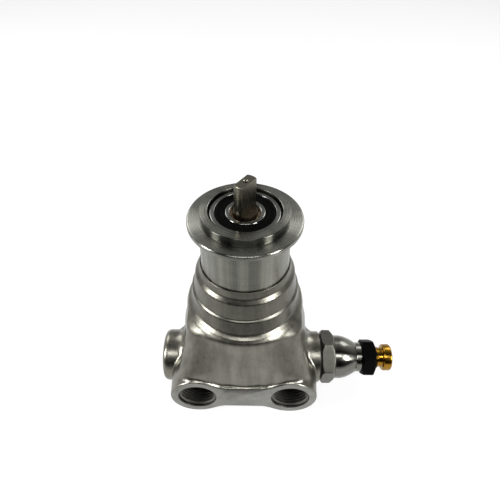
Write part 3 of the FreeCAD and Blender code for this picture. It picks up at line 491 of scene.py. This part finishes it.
def cylinder(radius, start, end, axis, place, turns=128):
    """A plain cutter along X or Z between two stations, at a place in the other two axes."""
    angles = np.arange(turns) / turns * 2 * math.pi
    a = place[0] + radius * np.cos(angles)
    b = place[1] + radius * np.sin(angles)
    ends = []
    for station in (start, end):
        c = np.full(turns, station)
        ends.append(np.stack({"X": [c, a, b], "Z": [a, b, c]}[axis], 1))
    faces = [[k, (k + 1) % turns, turns + (k + 1) % turns, turns + k] for k in range(turns)]
    faces += [list(range(turns))[::-1], list(range(turns, 2 * turns))]
    piece = new_piece("cutter", np.vstack(ends), faces, [], None)
    fix_normals(piece)
    return piece


def block(low, high):
    """A plain box cutter."""
    ends = (low, high)
    corners = [[ends[i][0], ends[j][1], ends[k][2]] for i in (0, 1) for j in (0, 1) for k in (0, 1)]
    faces = [[0, 1, 3, 2], [4, 6, 7, 5], [0, 4, 5, 1], [2, 3, 7, 6], [0, 2, 6, 4], [1, 5, 7, 3]]
    piece = new_piece("cutter", corners, faces, [], None)
    fix_normals(piece)
    return piece


def prism(corners, lift):
    """A four-sided cutter from the corners of its foot and the step up to its head."""
    points = np.vstack([corners, corners + np.array(lift, float)])
    faces = [[0, 3, 2, 1], [4, 5, 6, 7], [0, 1, 5, 4], [1, 2, 6, 5], [2, 3, 7, 6], [3, 0, 4, 7]]
    piece = new_piece("cutter", points, faces, [], None)
    fix_normals(piece)
    return piece


def turned_cutter(corners, axis="Z", start=(0, 0, 0), turns=192):
    """A turned cutter, without a material of its own."""
    return lathe("cutter", corners, None, None, axis=axis, start=start, turns=turns)


def eased_edges(piece, width, angle):
    """Small bevels on the sharp edges of a cut mesh, so that they catch the light beside flat faces."""
    piece.data.shade_smooth()
    weld = piece.modifiers.new("weld", "WELD")
    weld.merge_threshold = 0.00001
    bevel = piece.modifiers.new("bevel", "BEVEL")
    bevel.width = width * MM
    bevel.segments = 3
    bevel.limit_method = "ANGLE"
    bevel.angle_limit = math.radians(angle)
    bevel.harden_normals = False
    even = piece.modifiers.new("even_shading", "WEIGHTED_NORMAL")
    even.weight = 100
    even.keep_sharp = True


def read(rows, name, width):
    """One property of all of a mesh's vertices, faces or corners, as an array."""
    values = np.zeros(len(rows) * width)
    rows.foreach_get(name, values)
    return values.reshape(-1, width)


# Cast body: distances blended together, then meshed where the distance is zero

def smooth_union(a, b, blend):
    """The lesser of two distances, rounded off where they are within blend of each other."""
    share = np.clip(blend - np.abs(a - b), 0, None) / blend
    return np.minimum(a, b) - share * share * blend / 4


def smooth_overlap(a, b, blend):
    """The greater of two distances, rounded off in the same way."""
    return -smooth_union(-a, -b, blend)


def polygon_distance(px, py, corners):
    """Signed distance in the plane to a closed polygon, negative inside."""
    nearest = np.full(px.shape, 1e9)
    inside = np.zeros(px.shape, bool)
    for (ax, ay), (bx, by) in zip(corners, np.roll(corners, -1, 0)):
        ex, ey = bx - ax, by - ay
        wx, wy = px - ax, py - ay
        t = np.clip((wx * ex + wy * ey) / (ex * ex + ey * ey + 1e-12), 0, 1)
        nearest = np.minimum(nearest, (wx - t * ex) ** 2 + (wy - t * ey) ** 2)
        crosses = (ay > py) != (by > py)
        with np.errstate(divide="ignore", invalid="ignore"):
            inside ^= crosses & (px < ax + (py - ay) / (by - ay) * ex)
    return np.sqrt(nearest) * np.where(inside, -1, 1)


def slope_at(distance, points, step):
    """The distance's slope at each point, measured a step to either side."""
    return np.stack([(distance(points + step * e) - distance(points - step * e)) / (2 * step)
                     for e in np.eye(3)], -1)


# The collar's foot and lower ledge, and how much further than a round one the casting reaches to the front
COLLAR_FOOT = -55.0
COLLAR_FOOT_RADIUS = 31.5
COLLAR_LEDGE = -46.1
FRONT_REACH = 1.065
BODY_OUTLINE = rounded(
    [
        (0, -44.0),
        (29.6, -44.0),
        (31.1, -55.0),
        (32.2, -56.6, 1.5),
        (33.0, -60.0, 3.0),
        (32.8, -63.5, 6.0),
        (35.6, -75.0, 20.0),
        (36.8, -88.0, 20.0),
        (35.5, -110.0, 3.0),
        (30.0, -117.6, 2.0),
        (30.0, -121.5),
        (0, -121.5),
    ],
    8,
)
TABLE_STEP = 0.15
TABLE_R = np.arange(0, 75, TABLE_STEP)
TABLE_Z = np.arange(-128, -42, TABLE_STEP)
BODY_TABLE = polygon_distance(*np.meshgrid(TABLE_R, TABLE_Z, indexing="ij"), BODY_OUTLINE)


def turned_distance(r, z):
    """Distance to the turned body outline, read from its table."""
    i = np.clip(r / TABLE_STEP, 0, len(TABLE_R) - 1.001)
    j = np.clip((z - TABLE_Z[0]) / TABLE_STEP, 0, len(TABLE_Z) - 1.001)
    i0 = i.astype(int)
    j0 = j.astype(int)
    u = i - i0
    v = j - j0
    low = BODY_TABLE[i0, j0] * (1 - u) + BODY_TABLE[i0 + 1, j0] * u
    high = BODY_TABLE[i0, j0 + 1] * (1 - u) + BODY_TABLE[i0 + 1, j0 + 1] * u
    return low * (1 - v) + high * v


def apron_distance(x, y, z):
    """The front of the casting: a bulging middle, a corner that leans out and widens down to each port,
    and the sloping bank up to the collar."""
    t = np.clip((-56 - z) / 30, 0, 1.1)
    down = np.minimum(t, 1)
    front = 35.15 + 3.45 * down
    bend = 35 / (1 - 0.8 * down)
    face = np.hypot(x, y - bend + front) - bend
    middle = smooth_overlap(face, np.abs(x) - 23 - 3 * t, 7)
    fill = down ** 0.8
    corner = 9.0 + 3.6 * fill * (1.0 - t)
    flare = 3.2 * t * t * np.clip((-18 - y) / 9, 0, 1)
    across = np.abs(x) - (31.4 + 2.2 * t + flare - corner)
    ahead = -y - (23.6 + 15.0 * fill - corner)
    lean = np.hypot(np.maximum(across, 0), np.maximum(ahead, 0))
    lean = lean + np.minimum(np.maximum(across, ahead), 0)
    pillar = np.maximum(lean - corner, 12 - np.abs(x)) * 0.92
    made = smooth_union(middle, pillar, 7.0)
    past_foot = np.hypot(x, y / FRONT_REACH) - COLLAR_FOOT_RADIUS + 0.5
    bank = 0.667 * past_foot + 0.745 * (z - COLLAR_FOOT)
    made = np.maximum(smooth_overlap(made, bank, 0.8), z + 49)
    made = smooth_overlap(made, -38.8 - y, 1.5)
    return np.maximum(made, y + 2)


def body_distance(p):
    """Distance to the casting's skin before it is machined."""
    x, y, z = p[..., 0], p[..., 1], p[..., 2]
    # Turned barrel, pulled in at the back and let out to the front
    pinch = np.interp(COLLAR_FOOT - z, (0, 4, 7, 31), (0, 0.12, 0.12, 0.097))
    rear = np.where(y > 0, y * (1 + pinch), y / FRONT_REACH)
    made = turned_distance(np.hypot(x, rear), z)
    apron = smooth_overlap(apron_distance(x, y, z), -102.0 - z, 3.0)
    made = smooth_union(made, apron, 1.6)
    # Port bosses, thicker towards the barrel
    draft = PORT_BOSS + 1.25 * np.clip((y - PORT_FACE) / 16, 0, 1)
    barrel = np.hypot(np.abs(x) - PORT_X, z - PORT_Z) - draft
    barrel = smooth_overlap(barrel, np.maximum(PORT_FACE - y, y - 2), 1.6)
    made = smooth_union(made, barrel, 2.0)
    # Both side bosses are one bar through the body
    side = np.hypot(y - SIDE_Y, z - PORT_Z) - SIDE_BOSS
    side = smooth_overlap(side, np.maximum(LEFT_END - x, x - RIGHT_END - 3), 3.6)
    made = smooth_union(made, side, 1.1 + 4.0 * np.clip((z + 88.5) / 3, 0, 1))
    # Pad round both ports, waisted between them
    across = np.hypot(np.abs(x) - PORT_X, z - PORT_Z) - PORT_BOSS
    waist = np.maximum(np.abs(x) - PORT_X, np.abs(z - PORT_Z) - 9.8)
    pad = smooth_union(across, waist, 5.0)
    pad = smooth_overlap(pad, np.maximum(PORT_FACE - 0.2 - y, y + 30), 1.3)
    return smooth_union(made, pad, 0.7)


def surface_net(field, low, pitch):
    """Points and quads on the zero surface of a field sampled on a grid."""
    inside = field < 0
    corner_sum = sum(
        inside[i: field.shape[0] - 1 + i, j: field.shape[1] - 1 + j, k: field.shape[2] - 1 + k].astype(np.int8)
        for i in (0, 1) for j in (0, 1) for k in (0, 1)
    )
    cells = np.argwhere((corner_sum > 0) & (corner_sum < 8))
    index = np.full(corner_sum.shape, -1)
    index[tuple(cells.T)] = np.arange(len(cells))
    total = np.zeros((len(cells), 3))
    hits = np.zeros(len(cells))
    for axis in range(3):
        step = np.eye(3, dtype=int)[axis]
        for a in (0, 1):
            for b in (0, 1):
                offset = np.zeros(3, int)
                offset[(axis + 1) % 3] = a
                offset[(axis + 2) % 3] = b
                first = field[tuple((cells + offset).T)]
                second = field[tuple((cells + offset + step).T)]
                crossing = (first < 0) != (second < 0)
                share = np.where(crossing, first / np.where(crossing, first - second, 1), 0)
                total += np.where(crossing[:, None], offset + share[:, None] * step, 0)
                hits += crossing
    points = low + (cells + total / hits[:, None]) * pitch
    quads = []
    for axis in range(3):
        u = (axis + 1) % 3
        v = (axis + 2) % 3
        first = np.take(inside, np.arange(field.shape[axis] - 1), axis)
        second = np.take(inside, np.arange(1, field.shape[axis]), axis)
        edges = np.argwhere(first != second)
        edges = edges[(edges[:, u] > 0) & (edges[:, v] > 0)]
        edges = edges[(edges[:, u] < field.shape[u] - 1) & (edges[:, v] < field.shape[v] - 1)]
        out = first[tuple(edges.T)]
        ring = []
        for du, dv in ((0, 0), (-1, 0), (-1, -1), (0, -1)):
            cell = edges.copy()
            cell[:, u] += du
            cell[:, v] += dv
            ring.append(index[tuple(cell.T)])
        ring = np.stack(ring, 1)
        ring[~out] = ring[~out][:, ::-1]
        quads.append(ring)
    return points, np.vstack(quads)


def onto_surface(points, distance, rounds=2):
    """Moves points along the distance's slope until they lie on the surface."""
    for _ in range(rounds):
        value = distance(points)
        slope = slope_at(distance, points, 0.05)
        points = points - slope * (value / np.maximum((slope ** 2).sum(-1), 0.1))[:, None]
    return points


def cast_body():
    """The casting's skin, then the faces and bores that are machined into it."""
    pitch = 0.5
    low = np.array([-50.6, -45.6, -124.6])
    high = np.array([49.6, 36.2, -41.0])
    axes = [np.arange(a, b, pitch) for a, b in zip(low, high)]
    field = np.empty([len(a) for a in axes], np.float32)
    for i, x in enumerate(axes[0]):
        y, z = np.meshgrid(axes[1], axes[2], indexing="ij")
        field[i] = body_distance(np.stack([np.full_like(y, x), y, z], -1))
    points, quads = surface_net(field, low, pitch)
    points = onto_surface(points, body_distance)
    piece = new_piece("cast_body", points, quads.tolist(), [], None)
    far = 80
    cut(piece, block((-far, -far, -140), (far, PORT_FACE, 0)))
    cut(piece, block((RIGHT_END, -far, -140), (far, far, 0)))
    cut(piece, block((-far, -far, -140), (far, far, FOOT)))
    cut(piece, block((-far, -far, COLLAR_FOOT), (far, far, 0)))
    cut(piece, turned_cutter([(0, -20), (CAVITY, -20), (CAVITY, CAVITY_FLOOR), (0, CAVITY_FLOOR)]))
    # Threaded port with its chamfer, and the narrower room behind it
    port = [(0, 3), (10.95 + 3, 3), (10.95, 0), (10.48, -0.6), (10.48, -17), (8.6, -17.6),
            (8.6, PORT_FACE - SIDE_Y), (0, PORT_FACE - SIDE_Y)]
    for side in (-1, 1):
        cut(piece, turned_cutter(port, "Y", (side * PORT_X, PORT_FACE, PORT_Z), 160))
        # Passage up to the cartridge
        cut(piece, cylinder(2.8, PORT_Z, CAVITY_FLOOR + 1, "Z", (side * 13.6, -7.0), 48))
    # Valve chamber in the right boss, then the passage across to the left port
    valve_bores = ((10.0, RIGHT_END - 15, RIGHT_END + 5), (8.0, 4.0, RIGHT_END), (6.0, -PORT_X, 5.0))
    for radius, inner, outer in valve_bores:
        cut(piece, cylinder(radius, inner, outer, "X", (SIDE_Y, PORT_Z)))
    # Hole for the locating pin
    cut(piece, cylinder(1.25, CAVITY_FLOOR - 2.5, CAVITY_FLOOR + 1, "Z", (0, 17.6), 32))
    mark_machined(piece.data)
    true_normals(piece.data)
    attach(piece, "housing")
    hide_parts("pump_body")


def mark_machined(mesh):
    """Gives the faces that a tool has cut flat or round their own material, the bores and the cavity near-black
    painted shade, and sharp edges.
    """
    centre = read(mesh.polygons, "center", 3) / MM
    normal = read(mesh.polygons, "normal", 3)
    port = (np.abs(centre[:, 1] - PORT_FACE) < 0.02) & (normal[:, 1] < -0.99)
    end = (np.abs(centre[:, 0] - RIGHT_END) < 0.02) & (normal[:, 0] > 0.99)
    across = np.hypot(np.abs(centre[:, 0]) - PORT_X, centre[:, 2] - PORT_Z)
    bore = (across < 10.96) & (centre[:, 1] < -20)
    cavity = (np.hypot(centre[:, 0], centre[:, 1]) < CAVITY + 0.1) & (centre[:, 2] > CAVITY_FLOOR - 0.1)
    milled = (port | end).astype(np.int32)
    mesh.materials.clear()
    for material in (CAST, MILLED, BORE_SHADE):
        mesh.materials.append(material)
    mesh.polygons.foreach_set("material_index", np.where(bore | cavity, 2, milled))
    mesh.shade_smooth()
    mesh.set_sharp_from_angle(angle=math.radians(32))
    mesh.update()


def true_normals(mesh):
    """Gives the cast skin the normals of its own distance, so that small rounds shade smoothly."""
    points = read(mesh.vertices, "co", 3) / MM
    slope = slope_at(body_distance, points, 0.04)
    slope /= np.maximum(np.linalg.norm(slope, axis=1), 1e-9)[:, None]
    on_skin = np.abs(body_distance(points)) < 0.02
    corner = np.zeros(len(mesh.loops), np.int32)
    mesh.loops.foreach_get("vertex_index", corner)
    normals = read(mesh.corner_normals, "vector", 3)
    near = on_skin[corner] & ((normals * slope[corner]).sum(1) > 0.8)
    normals[near] = slope[corner][near]
    mesh.normals_split_custom_set(normals.tolist())


cast_body()

# The collar above the shoulder is round, so it is turned: two ledges, and the bore that the adapter stands in
collar = lathe(
    "cast_collar",
    [
        (COLLAR_BORE, COLLAR_TOP, 0.2),
        (24.2, COLLAR_TOP, 0.25),
        (24.6, -33.3, 2.0),
        (26.7, -35.5, 2.0),
        (28.1, -45.3, 1.0),
        (29.2, COLLAR_LEDGE, 1.2),
        (29.9, -53.57, 2.5),
        (COLLAR_FOOT_RADIUS, COLLAR_FOOT),
        (CAVITY, COLLAR_FOOT),
        (CAVITY, -31.5),
        (COLLAR_BORE, -31.5),
    ],
    CAST, "housing", [], turns=256,
)
for vertex in collar.data.vertices:
    x, y, z = (c / MM for c in vertex.co)
    below_ledge = min(1, max(0, (COLLAR_LEDGE - z) / (COLLAR_LEDGE - COLLAR_FOOT)))
    if y < 0 and math.hypot(x, y) > 28:
        vertex.co.y *= 1 + (FRONT_REACH - 1) * below_ledge


# Threads

def thread_ridge(name, root, tip, start, end, pitch, axis, centre, material, body):
    """Closed helical ridge of a screw thread between two stations. Its root is sunk into the cylinder it
    stands on, outward where the tip is the smaller radius, and both of its ends fade out."""
    sunk = 0.03
    steps_per_turn = 72
    fade_steps = 30
    half_base = pitch * 0.48
    half_tip = pitch * 0.07
    root += math.copysign(sunk, root - tip)
    count = int((end - start) / pitch * steps_per_turn)
    points = []
    for k in range(count + 1):
        a = 2 * math.pi * k / steps_per_turn
        h = start + (end - start) * k / count
        fade = min(1.0, k / fade_steps, (count - k) / fade_steps)
        top = root + (tip - root) * fade
        for radius, shift in ((root, -half_base), (top, -half_tip), (top, half_tip), (root, half_base)):
            points.append((radius * math.cos(a), radius * math.sin(a), h + shift * max(fade, 0.05)))
    faces = []
    for k in range(count):
        for j in range(4):
            m = (j + 1) % 4
            faces.append([4 * k + j, 4 * k + m, 4 * k + 4 + m, 4 * k + 4 + j])
    faces.append([0, 1, 2, 3])
    faces.append([4 * count + 3, 4 * count + 2, 4 * count + 1, 4 * count])
    piece = new_piece(name, along(points, axis, centre), faces, [material], body, (), 30)
    fix_normals(piece)


for side, where in ((-1, "left"), (1, "right")):
    thread_ridge(f"port_thread_{where}", 10.48, 9.35, -16.2, -1.0, 1.814, "Y",
                 (side * PORT_X, PORT_FACE, PORT_Z), THREAD, "housing")


# Mounting adapter, bearing and seal

adapter = lathe(
    "adapter_turned",
    [
        (8.0, -13.6),
        (14.0, -13.6),
        (14.0, -7.9),
        (17.5, -7.9),
        (17.5, 1.0),
        (18.0, 1.0),
        (18.15, 4.4, 0.3),
        (22.225, 4.4, 0.5),
        (22.225, 0.9, 0.1),
        (21.75, 0.6, 0.1),
        (21.75, 0.0, 0.1),
        (28.575, 0.0, 0.9),
        (28.575, -2.5, 0.35),
        (23.1, -4.6, 0.8),
        (23.1, -24.0, 2.0),
        (23.3, -28.0, 2.0),
        (23.3, -31.5),
        (20.5, -31.5),
        (20.5, -37.4),
        (17.95, -37.4),
        (17.95, -40.6),
        (20.5, -40.6),
        (20.5, -48.0),
        (14.5, -48.0),
        (14.5, -22.6),
        (12.5, -22.6),
        (12.5, -16.6),
        (8.0, -16.6),
    ],
    TURNED, "housing", ["mounting_adapter"],
)
# Painted shade and painted reflection bands on the neck
paint(adapter, NECK_SHADE, (22.9, 23.6), (-32, -4.4))
# Painted shade on the pilot's wall
paint(adapter, PILOT_SHADE, (21.7, 22.3), (0.0, 4.5))
# Painted shade in the groove round the bearing
paint(adapter, BORE_SHADE, (17.45, 18.3), (0.9, 4.3))
lathe(
    "bearing_outer_turned",
    [(15.0, 3.1, 0.25), (17.5, 3.1, 0.8), (17.5, -7.9, 0.6), (15.0, -7.9, 0.15), (15.0, -6.7), (14.7, -6.7),
     (14.7, -5.0), (15.3, -4.2), (15.5, -2.4), (15.3, -0.6), (14.7, 0.2), (14.7, 1.9), (15.0, 1.9)],
    BEARING, "housing", ["bearing_outer_ring"],
)
lathe(
    "bearing_inner_turned",
    [(7.5, 3.1, 0.6), (9.85, 3.1, 0.55), (9.85, 1.8), (10.3, 1.8), (10.3, 0.2), (9.7, -0.6), (9.5, -2.4),
     (9.7, -4.2), (10.3, -5.0), (10.3, -6.6), (9.85, -6.6), (9.85, -7.9, 0.2), (7.5, -7.9, 0.5)],
    BEARING, "shaft", ["bearing_inner_ring"],
)
for name, face, back, up in (("bearing_seal_upper", 2.8, 1.9, 1), ("bearing_seal_lower", -7.6, -6.7, -1)):
    groove = face - up * 0.28
    lip = face - up * 0.05
    lathe(
        f"{name}_moulded",
        [(9.9, back), (15.0, back), (15.0, face, 0.2), (14.3, face, 0.2), (14.0, groove, 0.15),
         (11.6, groove, 0.15), (11.3, lip, 0.1), (10.5, lip, 0.15), (9.9, face, 0.15)],
        RUBBER, "housing", [name],
    )


# Drive shaft with its flatted end

def drive_shaft():
    piece = lathe(
        "shaft_ground",
        [
            (0, -87.0),
            (6.0, -87.0, 0.4),
            (6.0, -9.9),
            (7.5, -9.9, 0.1),
            (7.5, -8.9),
            (7.1, -8.9),
            (7.1, -7.9),
            (7.5, -7.9),
            (7.5, 1.1, 0.3),
            (6.0, 1.1, 0.3),
            (6.0, 20.3, 0.55),
            (1.35, 20.3, 0.1),
            (0.75, 19.2),
            (0.75, 17.2),
            (0, 16.8),
        ],
        None, None,
    )
    sine, cosine = math.sin(SHAFT_ANGLE), math.cos(SHAFT_ANGLE)
    spin = np.array([[cosine, -sine, 0], [sine, cosine, 0], [0, 0, 1]])
    for side in (-1, 1):
        flat = [[-9, 2.5 * side, 3.8], [9, 2.5 * side, 3.8], [9, 8 * side, 3.8], [-9, 8 * side, 3.8]]
        cut(piece, prism(np.array(flat) @ spin.T, (0, 0, 30)))
    keyway = [[4.5, -1.5, -74], [9, -1.5, -74], [9, 1.5, -74], [4.5, 1.5, -74]]
    cut(piece, prism(np.array(keyway) @ spin.T, (0, 0, 12)))
    piece.data.materials.clear()
    piece.data.materials.append(SHAFT)
    eased_edges(piece, 0.25, 32)
    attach(piece, "shaft")
    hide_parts("drive_shaft")


drive_shaft()


# Relief valve

def polar_piece(name, radius_at, length, rows, material, body, nodes, inner, start_x):
    """A piece along the valve whose radius depends on the angle and the station, with a plain round hole."""
    turns = 540
    angles = np.arange(turns) / turns * 2 * math.pi
    stations = np.linspace(0, length, rows)
    rings = [(x, radius_at(angles, x)) for x in stations] + [(length, inner), (0.0, inner)]
    cosine, sine = np.cos(angles), np.sin(angles)
    points = [np.stack([np.full(turns, start_x + x), SIDE_Y + radius * cosine, PORT_Z + radius * sine], 1)
              for x, radius in rings]
    faces = []
    for r in range(len(rings)):
        s = (r + 1) % len(rings)
        for k in range(turns):
            m = (k + 1) % turns
            faces.append([r * turns + k, r * turns + m, s * turns + m, s * turns + k])
    piece = new_piece(name, np.vstack(points), faces, [material], body, nodes, 40)
    fix_normals(piece)


def hexagon_radius(angles, apothem, turn, power):
    """Radius of a hexagon at each angle. The higher the power, the sharper its corners."""
    total = 0
    for k in range(6):
        total = total + np.maximum(np.cos(angles - turn - k * math.pi / 3), 0) ** power
    return apothem / total ** (1 / power)


HEX_START = 46.2
HEX_LENGTH = 7.8
NUT_START = 70.85
NUT_LENGTH = 9.0
SCREW_START = 56.0
DOME_START = 47.0


def hex_radius(angles, x):
    """The bonnet's hexagon, with its corners turned off at both ends."""
    flat = hexagon_radius(angles, 14.0, math.radians(10), 90)
    near_end = 13.4 + (HEX_LENGTH - x) * 1.25
    near_start = 14.6 + x * 1.2
    return smooth_union(smooth_union(flat, near_end, 0.35), near_start, 0.35)


polar_piece("bonnet_hexagon", hex_radius, HEX_LENGTH, 65, HEX_FACES, "housing", [], 9.0,
            HEX_START)


def dome_outline():
    """Bonnet past its hexagon: straight, an ogive down to the neck, a short neck."""
    points = [(7.3, -17.4), (10.0, -17.4), (10.0, 0.4), (12.9, 0.4), (12.9, 10.2, 1.0)]
    run = 10.3
    for k in range(1, 14):
        t = k / 14
        points.append((12.9 - 4.1 * (t ** 1.75), 10.2 + run * t))
    points += [(8.8, 20.5, 0.35), (8.8, 23.8, 0.35), (6.55, 23.8), (6.55, 13.0), (7.3, 13.0)]
    return points


lathe("bonnet_dome", dome_outline(), VALVE_TURNED, "housing", ["valve_housing"],
      "X", (DOME_START, SIDE_Y, PORT_Z))
lathe("gasket_ring", [(10.1, 0, 0.2), (13.4, 0, 0.4), (13.4, 1.6, 0.4), (10.1, 1.6, 0.2)], GASKET, "housing",
      ["valve_gasket"], "X", (RIGHT_END, SIDE_Y, PORT_Z))


def nut_radius(angles, x):
    """The lock nut's hexagon, with its corners turned off at both ends."""
    flat = hexagon_radius(angles, 11.5 * math.cos(math.pi / 6), SLOT_ANGLE, 70)
    near_start = 9.6 + x * 1.75
    near_end = 7.4 + (NUT_LENGTH - x) * 2.05
    return smooth_union(smooth_union(flat, near_start, 0.5), near_end, 0.6)


polar_piece("nut_moulded", nut_radius, NUT_LENGTH, 61, PLASTIC, "nut", ["lock_nut"], 6.55,
            NUT_START)


def adjusting_screw():
    """Threaded brass screw, undercut and round slotted head."""
    piece = lathe(
        "screw_turned",
        [
            (0, 0),
            (6.5, 0, 0.6),
            (6.5, 9.5),
            (5.25, 9.5),
            (5.25, 10.8),
            (6.5, 10.8),
            (6.5, 12.0),
            (5.72, 12.7),
            (5.72, 25.9),
            (5.9, 26.3),
            (5.9, 27.9, 0.3),
            (8.0, 27.9, 1.2),
            (8.0, 33.1, 1.2),
            (0, 33.1),
        ],
        None, None, axis="X", start=(SCREW_START, SIDE_Y, PORT_Z),
    )
    # The slot's foot, turned about the valve's line
    sine, cosine = math.sin(SLOT_ANGLE), math.cos(SLOT_ANGLE)
    across = np.array([[-9, -1], [9, -1], [9, 1], [-9, 1]], float) @ np.array([[cosine, sine], [-sine, cosine]])
    foot = np.column_stack([np.full(4, SCREW_START + 30.9), across[:, 0] + SIDE_Y, across[:, 1] + PORT_Z])
    cut(piece, prism(foot, (6, 0, 0)))
    piece.data.materials.clear()
    piece.data.materials.append(BRASS)
    eased_edges(piece, 0.22, 40)
    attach(piece, "screw")
    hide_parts("adjusting_screw")


adjusting_screw()
thread_ridge("screw_thread", 5.72, 6.5, 12.9, 25.7, 1.337, "X", (SCREW_START, SIDE_Y, PORT_Z), BRASS, "screw")


# Inner pieces keep their solids and get their own materials

for row in frame["record"]["subparts"]:
    node = frame["nodes"][row["node"]]
    node.data.materials.clear()
    material = BY_SLOT[row["material_slot"]]
    if row["node"] in ("valve_poppet", "spring_guide", "valve_seat"):
        material = VALVE_TURNED
    node.data.materials.append(material)


# Studio

def plain_white(name, lit, seen):
    """A plain diffuse surface that the camera sees white, as reflections do except in front of the pump."""
    n = Nodes(bpy.data.materials.new(name))
    n.tree.nodes.remove(n.shader)
    diffuse = n.add("ShaderNodeBsdfDiffuse", Color=(lit, lit, lit, 1))
    glow = n.add("ShaderNodeEmission")
    path = n.add("ShaderNodeLightPath")
    # In reflections the table is dark up to 0.155 m in front of the pump's axis, and white behind that
    mirrored_table = n.ramp(n.math("ADD", (n.parts(), "Y"), 0.155), "Value", [(0.0, 0.08), (0.035, 1.0)])
    mirrored = n.math("MULTIPLY", (path, "Is Glossy Ray"), (mirrored_table, "Color"))
    first = n.math("MAXIMUM", (path, "Is Camera Ray"), (mirrored, "Value"))
    share = n.math("MAXIMUM", (first, "Value"), (path, "Is Transmission Ray"))
    strength = n.math("MULTIPLY", (share, "Value"), seen)
    both = n.add("ShaderNodeAddShader")
    n.link(strength, 0, glow, "Strength")
    n.link(diffuse, 0, both, 0)
    n.link(glow, 0, both, 1)
    n.link(both, 0, n.tree.nodes["Material Output"], "Surface")
    return n.owner


def studio():
    """Pale floor, a room that is dark in front and pale behind, and soft boxes all round."""
    reach = 4000
    corners = [(-reach, -reach, FOOT), (reach, -reach, FOOT), (reach, reach, FOOT), (-reach, reach, FOOT)]
    floor = new_piece("floor", corners, [[0, 1, 2, 3]], [plain_white("floor_white", 0.2, 0.76)], None)
    world = bpy.data.worlds.new("room")
    bpy.context.scene.world = world
    n = Nodes(world, "Background")
    way = n.parts("Generated")
    depth = n.math("MULTIPLY_ADD", (way, "Y"), 0.5, 0.5)
    glow = n.ramp(depth, "Value", [(0.45, 0.02), (0.82, (0.95, 0.95, 0.93))])
    wings = n.add("ShaderNodeMapRange", From_Min=0.12, From_Max=0.5, To_Min=0.4, To_Max=1.0)
    n.link(n.math("ABSOLUTE", (way, "X")), "Value", wings, "Value")
    room = n.add("ShaderNodeVectorMath", operation="SCALE")
    n.link(glow, "Color", room, 0)
    n.link(wings, "Result", room, "Scale")
    path = n.add("ShaderNodeLightPath")
    seen = n.mix((path, "Is Camera Ray"), (room, "Vector"), (0.96, 0.96, 0.96))
    n.link(seen, 2, n.shader, "Color")
    n.set(Strength=1.0)
    distance = 0.9
    for name, direction, width, height, power in (
        ("left_box", (-0.84, -0.27, 0.5), 0.22, 0.4, 9.0),
        ("right_box", (0.72, -0.49, 0.5), 0.2, 0.4, 9.0),
        ("front_box", (0.0, -0.52, 0.85), 0.6, 0.2, 3.8),
        ("back_box_left", (-0.55, 0.66, 0.6), 0.36, 0.36, 2.0),
        ("back_box_right", (0.55, 0.66, 0.6), 0.36, 0.36, 2.0),
    ):
        data = bpy.data.lights.new(name, "AREA")
        data.shape = "RECTANGLE"
        data.size = width
        data.size_y = height
        data.energy = power
        lamp = bpy.data.objects.new(name, data)
        towards = Vector(direction).normalized()
        lamp.location = Vector((0, 0, -0.06)) + towards * distance
        lamp.rotation_mode = "QUATERNION"
        lamp.rotation_quaternion = towards.to_track_quat("Z", "Y")
        bpy.context.scene.collection.objects.link(lamp)


studio()
bpy.context.scene.view_settings.view_transform = "Standard"
